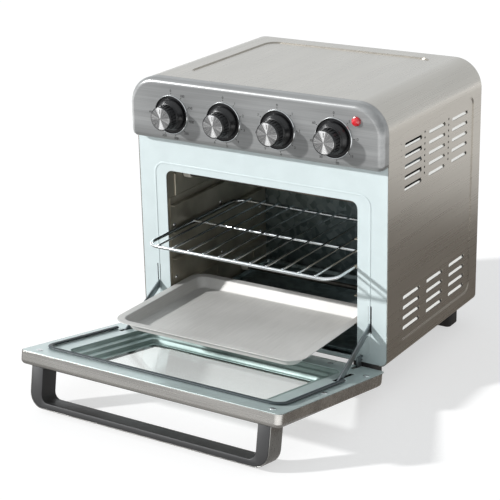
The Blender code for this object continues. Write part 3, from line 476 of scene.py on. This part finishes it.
# ---- Printed dials ------------------------------------------------------------------------------
# Small ticks and plain numbers, silk-screened in black ink on the panel's face round each knob.
# Each dial spans the turn of its knob.
ink, place = new_finish("dial_ink")
coat(ink, place, Base_Color=place.noise(2200, 2).between(tone(18, 18, 18), tone(36, 36, 35)), Roughness=0.6)
dial_numbers = {"temperature": ("0", "100", "150", "200", "250", "300", "350", "400", "450"),
                "function": ("0", "1", "2", "3", "4", "5", "6", "7"),
                "toast_timer": ("0", "1", "2", "3", "4", "5", "6", "7"),
                "fry_timer": ("0", "5", "10", "15", "20", "30", "45", "60")}
dial_sweep = {"temperature": 270, "function": 240, "toast_timer": 300, "fry_timer": 300}
ink_y = panel_face - 0.00012
for name, (x, z) in knob_centres.items():
    marks = []
    for number, words in enumerate(dial_numbers[name]):
        turn = math.radians(dial_sweep[name] * number / (len(dial_numbers[name]) - 1))
        tick = block("tick", (-0.00038, -0.00006, 0.0274), (0.00038, 0.00006, 0.0294))
        choose(tick, "EDGE", lambda place, way: abs(way.y) > 0.99)
        bpy.ops.mesh.bevel(offset=0.0001, segments=1, affect="EDGES")
        take_up(tick)
        tick.rotation_euler.y, tick.location = turn, (x, ink_y, z)
        marks.append(settle(tick))
        take_up()
        bpy.ops.object.text_add(rotation=(math.pi / 2, 0, 0))
        label = bpy.context.object
        label.data.body, label.data.size, label.data.extrude = words, 0.0047, 0.00006
        label.data.align_x, label.data.align_y = "CENTER", "CENTER"
        label.location = (x + 0.0325 * math.sin(turn), ink_y, z + 0.0320 * math.cos(turn))
        take_up(label)
        bpy.ops.object.convert(target="MESH")
        marks.append(settle(bpy.context.object))
    fit(joined(name + "_dial_print", marks), "housing", "black_plastic", ink)

# ---- Knobs --------------------------------------------------------------------------------------
# Each knob is black moulded plastic: a flared skirt, a fluted grip and a thin rim round a cap of
# spun aluminium, which carries the pointer line and is pressed into the front.
knob_depth = 0.026
skirt, grip_radius = 0.0212, 0.0158
knob_profile = [(0.0060, 0.0008), (skirt - 0.0006, 0.0008), (skirt, 0.0016), (skirt - 0.0002, 0.0030),
                (skirt - 0.0010, 0.0048), (skirt - 0.0021, 0.0066), (skirt - 0.0032, 0.0084),
                (skirt - 0.0041, 0.0100), (grip_radius + 0.0012, 0.0108),
                (grip_radius + 0.0004, 0.0111), (grip_radius + 0.0006, 0.0118),
                (grip_radius + 0.0004, 0.0120), (grip_radius + 0.0001, 0.0232), (grip_radius, 0.0234),
                (grip_radius - 0.0003, 0.0236), (grip_radius - 0.0003, 0.0240), (grip_radius, 0.0242),
                (grip_radius, 0.0247), (grip_radius - 0.0004, 0.0252), (grip_radius - 0.0009, 0.0254),
                (0.0146, 0.0252), (0.0145, 0.0226), (0.0060, 0.0226)]
knob = turned("knob_body", knob_profile, 96, facing=(0, 0, 0))


def in_groove(place, way):
    turn = math.degrees(math.atan2(place.y, place.x)) % 360 / 3.75
    return 0.013 < place.z < 0.022 and place.xy.length > 0.015 and int(turn) % 4 < 2


choose(knob, "FACE", in_groove)
bpy.ops.mesh.inset(thickness=0.0003, depth=-0.0011)
take_up(knob)
knob.rotation_euler.x = math.pi / 2
settle(knob)

cap_profile = [(0.0144, 0.0236), (0.0144, 0.0254), (0.0141, 0.0257)]
turning = 26
for number in range(turning):
    radius = 0.0138 - (0.0138 - 0.0006) * number / turning
    cap_profile.append((radius, 0.02592 if number % 2 else 0.02598))
cap_profile.append((0, 0.02594))
cap = turned("knob_cap", cap_profile, 96)
# Painted highlight: each cap's base colour brightens in two wedges and fine streaks by angle round its
# centre, standing in for the spun metal's reflection. The lathe rings in its roughness and relief are real.
spun_caps_painted_highlight = {}
for name, (x, z) in knob_centres.items():
    spun, place = new_finish(f"spun_{name}")
    centred = place.node("Mapping", Vector=place, Location=(-x, 0, -z))
    parts = centred.node("SeparateXYZ", Vector=centred)
    across, up = parts, Wire(parts.tree, parts.socket.node.outputs["Z"])
    turn = up.maths("ARCTAN2", across)
    wide = (2 * turn + 2.9).maths("COSINE", 0)
    narrow = (2 * turn + 0.3).maths("COSINE", 0)
    fine = (23 * turn).maths("SINE", 0) * (9 * turn).maths("COSINE", 0)
    painted_highlight = ((wide * 0.5 + 0.5) ** 9) + 0.25 * ((narrow * 0.5 + 0.5) ** 14) + 0.18 * fine
    radius = (across * across + up * up) ** 0.5
    lathe = (radius * 9000).maths("SINE", 0)
    shade = painted_highlight.clamp(-0.1, 0.9).between(tone(128, 128, 128), tone(252, 252, 252))
    spun_caps_painted_highlight[name] = coat(spun, place, Base_Color=shade, Metallic=0.85, Roughness=0.26 + 0.05 * lathe,
                               Normal=lathe.relief(0.00003, 0.3))

pointer = round_block("pointer", (-0.00040, -0.0001, 0.0070), (0.00040, 0.0001, 0.0128), 0.0002, 1, 2)
for name, (x, z) in knob_centres.items():
    made = fit(copy_of(knob, (x, panel_face, z)), name, "black_plastic", black_gloss, name + "_knob")
    made.name = name + "_grip"
    made = fit(copy_of(cap, (x, panel_face, z)), name, "satin_metal", spun_caps_painted_highlight[name],
               name + "_knob_cap", angle=20)
    made.name = name + "_spun_cap"
    made = fit(copy_of(pointer, (x, panel_face - knob_depth, z)), name, "black_plastic", ink)
    made.name = name + "_pointer"
for pattern in (knob, cap, pointer):
    bpy.data.objects.remove(pattern, do_unlink=True)

# ---- Pilot lamp ---------------------------------------------------------------------------------
# A red jewel of dyed clear plastic with cut facets, pushed into a hole in the panel beside the last
# knob.
jewel_red, place = new_finish("jewel_red")
coat(jewel_red, place, Base_Color=place.noise(300, 2).between((0.42, 0.002, 0.008), (0.62, 0.008, 0.018)),
     Roughness=0.12, Coat_Weight=0.8, Coat_Roughness=0.05, Emission_Color=(0.6, 0.01, 0.02),
     Emission_Strength=0.10)
jewel_profile = [(0.0040, -0.0080), (0.0042, 0.0003), (0.0062, 0.0003), (0.0062, 0.0012), (0.0056, 0.0030),
                 (0.0040, 0.0045), (0.0018, 0.0053), (0, 0.0054)]
jewel = turned("pilot_jewel", jewel_profile, 10, (lens_x, panel_face, lens_z))
fit(jewel, "housing", "red_lens", jewel_red, "indicator_lens", angle=5)

# ---- Cooking cavity -----------------------------------------------------------------------------
# A box of zinc-coated sheet behind the mouth. Ribs are pressed into its side walls, which carry the
# ledges for the rack and the tray, and domed rivets hold the ledge plates on.
cavity_zinc, place = new_finish("cavity_zinc")
spangle = place.node("TexVoronoi", {"feature": "F1"}, "Color", Vector=place, Scale=120.0)
bright = spangle.node("SeparateColor", Color=spangle)
cloud = place.noise(14, 3)
shade = (0.6 * cloud + 0.4 * bright).clamp(0.2, 0.8).between(tone(92, 104, 106), tone(140, 152, 154))
coat(cavity_zinc, place, Base_Color=shade, Metallic=0.75, Roughness=0.30 + 0.10 * bright,
     Normal=cloud.relief(0.0002, 0.2))
repaint(cavity_zinc, "cavity_back", "cavity_floor", "cavity_roof")
# Painted light: the side walls, their ledges and ribs get a lighter, warmer copy of the cavity's zinc, which
# stands for light on the walls and a painted warm reflection of the food.
wall_zinc, place = new_finish("wall_zinc")
cloud = place.noise(18, 3)
coat(wall_zinc, place, Base_Color=cloud.clamp(0.25, 0.75).between(tone(150, 144, 130), tone(190, 184, 170)),
     Metallic=0.7, Roughness=0.32 + 0.1 * cloud, Normal=place.noise(500, 2).relief(0.0001, 0.2))
repaint(wall_zinc, "cavity_left_wall", "cavity_right_wall", "left_shelf_guide", "right_shelf_guide")
wall_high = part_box("cavity_left_wall")[1]
wall_x = wall_high.x
ribs = []
for y in (0.020, 0.118, 0.216):
    rib = block("rib", (wall_x - 0.0001, plate_y + y, 0.0560),
                (wall_x + 0.0012, plate_y + y + 0.0045, wall_high.z - 0.012))
    choose(rib, "EDGE", lambda place, way: place.x > wall_x + 0.001)
    bpy.ops.mesh.bevel(offset=0.0010, segments=3, affect="EDGES")
    take_up(rib)
    ribs.append(rib)
wall_ribs = modify(joined("wall_ribs", ribs), "MIRROR")
fit(wall_ribs, "housing", "zinc_plate", wall_zinc)


def rivet(name, radius, height):
    """A low domed rivet head that stands up along Z."""
    return turned(name, [(radius, 0), (radius, height * 0.25), (radius * 0.85, height * 0.65),
                         (radius * 0.5, height * 0.93), (0, height)], 16, facing=(0, 0, 0))


head = rivet("guide_rivets", 0.0024, 0.0012)
head.rotation_euler.y = math.pi / 2
settle(head)
plate_x = wall_x + 0.0011
guide_rivets = modify(repeat(head, [(plate_x, plate_y + y, z) for y in (0.014, 0.130, 0.236)
                                    for z in (0.0925, 0.1310, 0.1690)]), "MIRROR")
fit(guide_rivets, "housing", "zinc_plate", chrome, angle=50)

# ---- Heating elements ---------------------------------------------------------------------------
# Four steel-sheathed rods cross the cavity, greyed by heat. Ceramic collars hold their ends in the
# side walls.
sheath, place = new_finish("heater_sheath")
bloom = place.noise(30, 4)
coat(sheath, place, Base_Color=bloom.clamp(0.3, 0.7).between(tone(70, 68, 64), tone(126, 120, 112)),
     Metallic=0.8, Roughness=0.38 + 0.2 * bloom, Normal=place.noise(700, 2).relief(0.0001, 0.3))
heaters = ("lower_front_heater", "lower_rear_heater", "upper_front_heater", "upper_rear_heater")
repaint(sheath, *heaters)
ceramic, place = new_finish("collar_ceramic")
coat(ceramic, place, Base_Color=place.noise(500, 2).between(tone(214, 208, 196), tone(232, 228, 218)),
     Roughness=0.6)
collar_profile = [(0.0038, 0), (0.0061, 0), (0.0061, 0.0090), (0.0052, 0.0104), (0.0038, 0.0104), (0.0038, 0)]
collars = []
for name in heaters:
    low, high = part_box(name)
    for side, x in ((-1, low.x), (1, high.x)):
        collars.append(turned("collar", collar_profile, 24, (x, (low.y + high.y) / 2, (low.z + high.z) / 2),
                              (0, -side * math.pi / 2, 0)))
fit(joined("heater_collars", collars), "housing", "control_plastic", ceramic)

# ---- Fan and its guard --------------------------------------------------------------------------
# The air fryer's fan turns above the cavity behind a punched guard, with its motor on top. Behind
# the panel, the knobs' shafts run to controls in moulded cases.
dark_zinc, place = new_finish("dark_zinc")
cloud = place.noise(25, 3)
coat(dark_zinc, place, Base_Color=cloud.between(tone(96, 98, 98), tone(142, 144, 144)), Metallic=0.8,
     Roughness=0.34 + 0.14 * cloud)
repaint(dark_zinc, "fan_guard", "fan_housing", "fan_blade", "base_plate")
motor_steel, place = new_finish("motor_steel")
coat(motor_steel, place, Base_Color=place.noise(80, 2).between(tone(110, 110, 112), tone(150, 150, 152)),
     Metallic=0.8, Roughness=0.42 + 0.1 * place.noise(200, 2))
repaint(motor_steel, "fan_motor", *[name + "_shaft" for name in knob_names])
control_case, place = new_finish("control_case")
coat(control_case, place, Base_Color=place.noise(150, 2).between(tone(200, 194, 176), tone(216, 211, 194)),
     Roughness=0.5)
repaint(control_case, *[name + "_control" for name in knob_names])

# ---- Wire rack ----------------------------------------------------------------------------------
# A frame of 5 mm chromed wire with eleven thinner wires welded on top and one bar below. It slides
# on the ledges, and comes out as the door opens.
rack_low, rack_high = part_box("wire_rack")
wire, cross_wire = 0.0050, 0.0030
rack_z = rack_low.z + wire / 2
rack_front, rack_back = rack_low.y + 0.0012 + wire / 2, rack_high.y - 0.0012 - wire / 2
take_up()
bpy.ops.mesh.primitive_plane_add(size=1, location=(0, (rack_front + rack_back) / 2, rack_z))
bpy.context.object.scale = (rack_high.x - rack_low.x - wire, rack_back - rack_front, 1)
frame_wire = settle(bpy.context.object, "rack_frame")
choose(frame_wire, "VERT", everything)
bpy.ops.mesh.bevel(offset=0.020, segments=10, affect="VERTICES")
bpy.ops.mesh.select_mode(type="FACE")
bpy.ops.mesh.select_all(action="SELECT")
bpy.ops.mesh.delete(type="ONLY_FACE")
take_up(frame_wire)
bpy.ops.object.convert(target="CURVE")
frame_wire.data.bevel_depth, frame_wire.data.bevel_resolution = wire / 2, 5
frame_wire.data.fill_mode = "FULL"
bpy.ops.object.convert(target="MESH")
bright_wire, place = new_finish("bright_wire")
coat(bright_wire, place, Base_Color=place.noise(120, 3).between(tone(186, 190, 192), tone(224, 227, 228)),
     Metallic=1.0, Roughness=0.16 + 0.10 * place.noise(400, 2))


def rod(name, start, stop, radius, sides=14):
    """A straight wire with rounded ends."""
    start, stop = Vector(start), Vector(stop)
    way = stop - start
    take_up()
    bpy.ops.mesh.primitive_cylinder_add(vertices=sides, radius=radius, depth=way.length,
                                        location=(start + stop) / 2,
                                        rotation=way.to_track_quat("Z", "Y").to_euler())
    piece = settle(bpy.context.object, name)
    return soften(piece, radius * 0.6, 3, 50)


cross_z = rack_z + (wire + cross_wire) / 2 - 0.0006
half = cross_wire / 2
cross = rod("cross_wires", (0, rack_low.y + 0.0001, cross_z), (0, rack_high.y - 0.0001, cross_z), half)
cross_wires = repeat(cross, [(0.0239 * number, 0, 0) for number in range(-5, 6)])
bar = rod("rack_bar", (rack_low.x + wire / 2, (rack_front + rack_back) / 2, rack_z + 0.0004),
          (rack_high.x - wire / 2, (rack_front + rack_back) / 2, rack_z + 0.0004), half + 0.0006)
fit(joined("rack_wires", [frame_wire, cross_wires, bar]), "rack", "bright_wire", bright_wire, "wire_rack",
    angle=60)

# ---- Baking tray --------------------------------------------------------------------------------
# Pressed from one sheet of satin metal: a wide flat rim with round corners, a sloping wall and a
# flat base. It lies on the lowest ledges.
tray_low, tray_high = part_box("baking_tray")
sheet = 0.001
tray_top = tray_high.z - sheet / 2
middle_y = (tray_low.y + tray_high.y) / 2


def slab(name, low, high, z, radius, segments=10):
    """One flat face with rounded corners."""
    take_up()
    bpy.ops.mesh.primitive_plane_add(size=1, location=((low[0] + high[0]) / 2, (low[1] + high[1]) / 2, z))
    bpy.context.object.scale = (high[0] - low[0], high[1] - low[1], 1)
    piece = settle(bpy.context.object, name)
    choose(piece, "VERT", everything)
    bpy.ops.mesh.bevel(offset=radius, segments=segments, affect="VERTICES")
    bpy.ops.mesh.select_mode(type="FACE")
    bpy.ops.mesh.select_all(action="SELECT")
    return piece


def sink(depth, inset, size, centre):
    """Extrudes the chosen face down and draws its outline in by the same inset on every side."""
    bpy.ops.mesh.extrude_region_move(TRANSFORM_OT_translate={"value": (0, 0, -depth)})
    if inset:
        bpy.ops.transform.resize(value=(1 - 2 * inset / size[0], 1 - 2 * inset / size[1], 1),
                                 center_override=centre)
    return size[0] - 2 * inset, size[1] - 2 * inset


edge = sheet / 2
tray = slab("tray_sheet", (tray_low.x + edge, tray_low.y + edge), (tray_high.x - edge, tray_high.y - edge),
            tray_top, radius=0.0235)
rim = 0.0095
bpy.ops.mesh.inset(thickness=rim)
size = (tray_high.x - tray_low.x - sheet - 2 * rim, tray_high.y - tray_low.y - sheet - 2 * rim)
centre = (0, middle_y, tray_top)
for depth, inset in ((0.0004, 0.0007), (0.0008, 0.0006), (0.0102, 0.0046), (0.0016, 0.0010), (0.0007, 0.0009),
                     (0.0003, 0.0011)):
    size = sink(depth, inset, size, centre)
modify(tray, "SOLIDIFY", thickness=sheet, offset=0, use_even_offset=True)
soften(tray, 0.00035, 2, 60)
satin, place = new_finish("tray_satin")
fine = place.noise(1, 3, (1400, 30, 1400))
cloud = place.noise(9, 3)
shade = (0.6 * cloud + 0.4 * fine).clamp(0.3, 0.7).between(tone(188, 187, 184), tone(212, 211, 208))
coat(satin, place, Base_Color=shade, Metallic=0.2, Roughness=0.55 + 0.10 * fine,
     Normal=fine.relief(0.00006, 0.3))
fit(tray, "tray", "tray_metal", satin, "baking_tray", angle=40, flat=True)
repaint(cavity_zinc, "crumb_tray")

# ---- Door pan -----------------------------------------------------------------------------------
# The door's outer skin is one pressed pan of stainless, brushed across, with its edges folded back
# all round and the window cut in its face. Door pieces are shaped with the door upright and shut,
# about the hinge axis, and then swung open to where the door hangs at rest.
hinge = next(joint for joint in frame["joints"] if joint["name"] == "door_hinge")
door_open = math.radians(hinge["range_deg"][1])
hinge_at = Vector(hinge["pos_m"])
inner_face, outer_face = 0.0035, -0.0145
door_start, door_end, door_half = -0.0030, 0.2660, 0.1925


def swing(piece):
    """Swings a piece from the shut door's frame to the open door."""
    piece.rotation_euler.x = door_open
    piece.location = hinge_at
    return settle(piece)


def window_block(name, inset, near, far):
    """A block with the window's outline, this far in from the mouth of its well."""
    low = (-0.150 + inset, near, door_start + 0.040 + inset)
    high = (0.150 - inset, far, door_start + 0.228 - inset)
    return round_block(name, low, high, 0.014 - inset / 3, 1)


pan = block("door_skin", (-door_half, outer_face, door_start), (door_half, inner_face - 0.0004, door_end))
for hinge_end, radius in ((True, 0.018), (False, 0.0085)):
    choose(pan, "EDGE", lambda place, way: abs(way.y) > 0.99 and (place.z < 0.1) == hinge_end)
    bpy.ops.mesh.bevel(offset=radius, segments=8, affect="EDGES")
choose(pan, "FACE", lambda place, way: way.y < -0.99)
bpy.ops.mesh.region_to_loop()
bpy.ops.mesh.bevel(offset=0.0058, segments=6, affect="EDGES")
choose(pan, "FACE", lambda place, way: way.y > 0.99)
bpy.ops.mesh.delete(type="FACE")
modify(pan, "SOLIDIFY", thickness=0.001, offset=-1, use_even_offset=True)
cut(pan, window_block("window", 0.0285, outer_face - 0.01, outer_face + 0.01))
notches = [block("notch", (side * 0.1525 - 0.003, outer_face + 0.005, door_start - 0.005),
                 (side * 0.1525 + 0.003, inner_face + 0.01, door_start + 0.022)) for side in (-1, 1)]
cut(pan, joined("notches", notches))
soften(pan, 0.00025, 2, 50)
door_steel = brushed("door_steel", 0, tone(178, 176, 172), rough=0.27, metal=0.85, patches=0.20)
fit(swing(pan), "door", "brushed_stainless", door_steel, "door_pan", angle=25, flat=True)

# ---- Door inner panel ---------------------------------------------------------------------------
# The pale coated sheet that faces the food, with the mouth of the window well cut in it, slots for
# the hinge arms and a few rivets that hold it to the outer pan.
inner = round_block("inner_sheet", (-door_half + 0.0013, inner_face - 0.001, door_start + 0.0013),
                    (door_half - 0.0013, inner_face, door_end - 0.0013), 0.0075, 1, 6)
cut(inner, window_block("mouth", 0.0, inner_face - 0.01, inner_face + 0.01))
gaps = [round_block("gap", (side * 0.1648 - 0.003, inner_face - 0.01, door_start + 0.043),
                    (side * 0.1648 + 0.003, inner_face + 0.01, door_start + 0.093), 0.0015, 1, 3)
        for side in (-1, 1)]
gaps += [block("notch", (side * 0.1525 - 0.003, outer_face + 0.005, door_start - 0.005),
               (side * 0.1525 + 0.003, inner_face + 0.01, door_start + 0.022)) for side in (-1, 1)]
cut(inner, joined("gaps", gaps))
soften(inner, 0.0003, 2, 50)
door_pale = pale("door_pale", tone(204, 219, 218), rough=0.30, metal=0.30)
fit(swing(inner), "door", "pale_steel", door_pale, "door_inner_panel", flat=True)
spots = [(side * 0.1725, 0.2530) for side in (-1, 1)]
spots += [(side * 0.1830, z) for side in (-1, 1) for z in (0.040, 0.150)]
spots += [(side * x, 0.0200) for side in (-1, 1) for x in (0.060, 0.120)]
head = rivet("door_rivets", 0.0042, 0.0011)
head.rotation_euler.x = -math.pi / 2
settle(head)
door_rivets = repeat(head, [(x, inner_face, door_start + z) for x, z in spots])
fit(swing(door_rivets), "door", "pale_steel", chrome, angle=50)

# ---- Window well and glass ----------------------------------------------------------------------
# A well of coated steel steps down from the inner panel's mouth to one pane of clear glass, which
# lies behind the window cut in the outer pan.
well_y = inner_face - 0.0018
ledge, drop = 0.0095, 0.0040
take_up()
bpy.ops.mesh.primitive_plane_add(size=1, rotation=(math.pi / 2, 0, 0),
                                 location=(0, well_y, door_start + 0.134))
bpy.context.object.scale = (0.310, 0.198, 1)
well = settle(bpy.context.object, "window_steps")
choose(well, "VERT", everything)
bpy.ops.mesh.bevel(offset=0.0155, segments=8, affect="VERTICES")
bpy.ops.mesh.select_mode(type="FACE")
bpy.ops.mesh.select_all(action="SELECT")
middle = (0, well_y, door_start + 0.134)
bpy.ops.mesh.inset(thickness=0.0055)
wide, tall = 0.299, 0.187
for deep, shrink in ((drop, 0.0015), (0, ledge - 0.0015), (drop, 0.0015), (0, ledge - 0.0015),
                     (drop + 0.001, 0.0015), (0, ledge - 0.0035)):
    bpy.ops.mesh.extrude_region_move(TRANSFORM_OT_translate={"value": (0, -deep, 0)})
    bpy.ops.transform.resize(value=(1 - 2 * shrink / wide, 1, 1 - 2 * shrink / tall), center_override=middle)
    wide, tall = wide - 2 * shrink, tall - 2 * shrink
bpy.ops.mesh.delete(type="FACE")
modify(well, "SOLIDIFY", thickness=0.001, offset=0)
soften(well, 0.0003, 2, 40)
step_finish, place = new_finish("step_finish")
cloud = place.noise(16, 3)
coat(step_finish, place, Base_Color=cloud.clamp(0.3, 0.7).between(tone(138, 156, 153), tone(176, 194, 191)),
     Metallic=0.45, Roughness=0.26 + 0.10 * cloud, Normal=place.noise(600, 2).relief(0.00006, 0.2))
fit(swing(well), "door", "dark_enamel", step_finish, "window_surround")
clear_glass, place = new_finish("clear_glass")
smear = place.noise(22, 3)
gloss = place.node("BsdfGlossy", Color=(0.9, 0.95, 0.94), Roughness=0.03 + 0.05 * smear)
clear = place.node("BsdfTransparent", Color=(0.97, 0.985, 0.98))
grazing = place.node("LayerWeight", out="Facing", Blend=0.5)
place.node("OutputMaterial", Surface=place.node("MixShader", Fac=0.02 + 0.5 * grazing ** 5, Shader=clear,
                                                Shader_001=gloss))
repaint(clear_glass, "door_glass")

# ---- Door seal ----------------------------------------------------------------------------------
# A soft silicone bead in a U round the window, open towards the hinge. It is pushed into the inner
# panel.
seal_half, seal_front, seal_end, seal_thick = 0.175, door_start + 0.2385, door_start + 0.0860, 0.0033
take_up()
bpy.ops.mesh.primitive_plane_add(size=1, rotation=(math.pi / 2, 0, 0),
                                 location=(0, 0, (seal_front + seal_end) / 2))
bpy.context.object.scale = (2 * seal_half, seal_front - seal_end, 1)
seal = settle(bpy.context.object, "silicone_seal")
choose(seal, "VERT", lambda place, way: place.z > seal_front - 0.001)
bpy.ops.mesh.bevel(offset=0.016, segments=8, affect="VERTICES")
choose(seal, "EDGE", lambda place, way: place.z < seal_end + 0.001)
bpy.ops.mesh.delete(type="EDGE_FACE")
take_up(seal)
bpy.ops.object.convert(target="CURVE")
seal.data.bevel_depth, seal.data.bevel_resolution, seal.data.use_fill_caps = 0.0031, 4, True
bpy.ops.object.convert(target="MESH")
seal.scale.y = seal_thick / 0.0062
seal.location.y = inner_face + 0.0003 + seal_thick / 2
settle(seal)
silicone, place = new_finish("silicone")
coat(silicone, place, Base_Color=place.noise(70, 2).between(tone(34, 44, 48), tone(52, 63, 67)),
     Roughness=0.42 + 0.1 * place.noise(900, 2), Normal=place.noise(1500, 1).relief(0.00004, 0.3))
fit(swing(seal), "door", "seal_rubber", silicone, "door_gasket", angle=60)

# ---- Handle -------------------------------------------------------------------------------------
# A U-shaped bar moulded in black plastic, screwed on from inside the door, with a strip of brushed
# steel bent round its outside.
def finer(name, node, width, angle=35):
    """A CAD node's own shape with its loose triangles merged and its edges softened."""
    take_up(frame["nodes"][node])
    bpy.ops.object.duplicate()
    piece = bpy.context.object
    piece.name = piece.data.name = name
    for key in list(piece.keys()):
        del piece[key]
    piece.parent = None
    choose(piece, "FACE", everything)
    bpy.ops.mesh.remove_doubles(threshold=2e-6)
    bpy.ops.mesh.dissolve_limited(angle_limit=math.radians(1.0))
    take_up(piece)
    return soften(piece, width, 3, angle) if width else piece


handle_black, place = new_finish("handle_black")
pebble = place.noise(2600, 2)
coat(handle_black, place, Base_Color=place.noise(40, 2).between((0.026, 0.026, 0.027), (0.038, 0.038, 0.039)),
     Roughness=0.36 + 0.12 * pebble, Normal=pebble.relief(0.00006, 0.45))
fit(finer("handle_bar", "handle_grip", 0.0012), "door", "black_plastic", handle_black, "handle_grip")
trim_steel = brushed("trim_steel", 0, tone(150, 149, 146), rough=0.28, metal=0.9, patches=0.12)
fit(finer("handle_strip", "handle_trim", 0.0003), "door", "brushed_stainless", trim_steel, "handle_trim")
repaint(dark_zinc, "left_handle_screw", "right_handle_screw")

# ---- Hinges and feet ----------------------------------------------------------------------------
# Zinc-plated brackets, studs and curved arms carry the door; the arms run into slots in the front
# plate. Four black moulded feet stand under the corners.
hinge_zinc, place = new_finish("hinge_zinc")
cloud = place.noise(60, 3)
coat(hinge_zinc, place, Base_Color=cloud.between(tone(104, 110, 112), tone(150, 157, 160)), Metallic=0.85,
     Roughness=0.28 + 0.14 * cloud, Normal=place.noise(900, 2).relief(0.00006, 0.3))
for across in ("left", "right"):
    arm, bracket = f"{across}_hinge_arm", f"{across}_hinge_bracket"
    fit(finer(f"{across}_arm_plate", arm, 0.0004), f"{across}_arm", "zinc_plate", hinge_zinc, arm)
    fit(finer(f"{across}_bracket_plate", bracket, 0.0003), "housing", "zinc_plate", hinge_zinc, bracket)
repaint(hinge_zinc, "left_hinge_stud", "right_hinge_stud")
foot_rubber, place = new_finish("foot_black")
coat(foot_rubber, place, Base_Color=place.noise(90, 2).between((0.012, 0.012, 0.013), (0.024, 0.024, 0.025)),
     Roughness=0.45 + 0.12 * place.noise(1200, 2), Normal=place.noise(1800, 1).relief(0.00005, 0.3))
for corner in ("front_left", "front_right", "rear_left", "rear_right"):
    foot = f"{corner}_foot"
    fit(finer(foot + "_pad", foot, 0.0008), "housing", "black_plastic", foot_rubber, foot)
repaint(foot_rubber, "cord_gland")

# ---- Rear cover ---------------------------------------------------------------------------------
# The back is closed with a plate of zinc-coated steel with vent slots and four spacer bosses. Screws
# round its edge hold it to the wrap.
rear_zinc, place = new_finish("rear_zinc")
cloud = place.noise(10, 4)
coat(rear_zinc, place, Base_Color=cloud.clamp(0.3, 0.7).between(tone(146, 148, 148), tone(178, 180, 180)),
     Metallic=0.7, Roughness=0.34 + 0.12 * cloud, Normal=place.noise(700, 2).relief(0.00008, 0.25))
fit(finer("rear_plate", "rear_cover", 0.0003), "housing", "zinc_plate", rear_zinc, "rear_cover")
head = rivet("rear_screws", 0.0035, 0.0016)
head.rotation_euler.x = -math.pi / 2
settle(head)
cover_y = plate_y + 0.2727
rear_screws = repeat(head, [(side * 0.176, cover_y, z) for side in (-1, 1) for z in (0.060, 0.190, 0.320)]
                     + [(0, cover_y, 0.365)])
fit(rear_screws, "housing", "zinc_plate", chrome, angle=50)

# ---- Floor, light and camera --------------------------------------------------------------------
# A pale floor under one low, fairly sharp lamp from the front left and an even, cool sky. What the
# floor shows in reflections is painted. The camera stands to the right of the front and a little above.
take_up()
bpy.ops.mesh.primitive_plane_add(size=16, location=(0, 0, -0.0002))
floor = settle(bpy.context.object, "studio_floor")
floor_paint, place = new_finish("floor_paint")
path = place.node("LightPath", out="Is_Glossy_Ray")
parts = place.node("SeparateXYZ", Vector=place)
across, away = parts, Wire(parts.tree, parts.socket.node.outputs["Y"])
# Painted reflection: glossy rays see this emitted pattern in place of the floor. It is white all round but
# for a band that runs past the oven, grey in front of it and dark brown just behind it.
aside = (0.843 * across - 0.537 * away).maths("ABSOLUTE", 0)
down_aisle = 0.537 * across + 0.843 * away
behind = down_aisle.clamp(0.70, 1.10).between((0.17, 0.145, 0.12), (0.95, 0.94, 0.92))
before = (0 - down_aisle).clamp(0.35, 1.0).between((0.30, 0.29, 0.28), (0.52, 0.52, 0.52))
aisle = (down_aisle > 0).between(before, behind)
painted_reflection = aside.clamp(0.38, 0.62).between(aisle, (2.2, 2.2, 2.2))
matt = place.node("BsdfDiffuse", Color=(0.50, 0.50, 0.50))
glow = place.node("Emission", Color=(1, 1, 1), Strength=0.56)
lit = place.node("AddShader", Shader=matt, Shader_001=glow)
shown = place.node("Emission", Color=painted_reflection, Strength=1.0)
place.node("OutputMaterial", Surface=place.node("MixShader", Fac=path, Shader=lit, Shader_001=shown))
floor.data.materials.append(floor_paint)

world = bpy.data.worlds.new("studio_sky")
bpy.context.scene.world = world
world.use_nodes = True
world.node_tree.nodes.clear()
sky = Wire(world.node_tree)
strength = 1 - 0.58 * sky.node("LightPath", out="Is_Diffuse_Ray")
sky.node("OutputWorld", Surface=sky.node("Background", Color=(0.97, 1.0, 1.02), Strength=strength))

lamp_way = Vector((0.0346, 0.0295, -0.0194)).normalized()
take_up()
bpy.ops.object.light_add(type="SUN", rotation=lamp_way.to_track_quat("-Z", "Y").to_euler())
bpy.context.object.name = "key_lamp"
bpy.context.object.data.energy = 4.3
bpy.context.object.data.angle = math.radians(3)

azimuth, elevation, roll = math.radians(32.53), math.radians(19.735), math.radians(-1.266)
look = Vector((-math.sin(azimuth) * math.cos(elevation), math.cos(azimuth) * math.cos(elevation),
               -math.sin(elevation)))
right = look.cross(Vector((0, 0, 1))).normalized()
up = right.cross(look)
right, up = right * math.cos(roll) + up * math.sin(roll), up * math.cos(roll) - right * math.sin(roll)
take_up()
bpy.ops.object.camera_add(location=(1.017369, -1.618220 + plate_y, 0.847629))
camera = bpy.context.object
camera.name = "studio_camera"
turn = Matrix((right, up, -look)).transposed()
camera.rotation_euler = turn.to_euler()
camera.data.sensor_width = 36.0
camera.data.lens = 110.82
camera.data.clip_end = 50.0
bpy.context.scene.camera = camera
bpy.context.scene.view_settings.view_transform = "Standard"
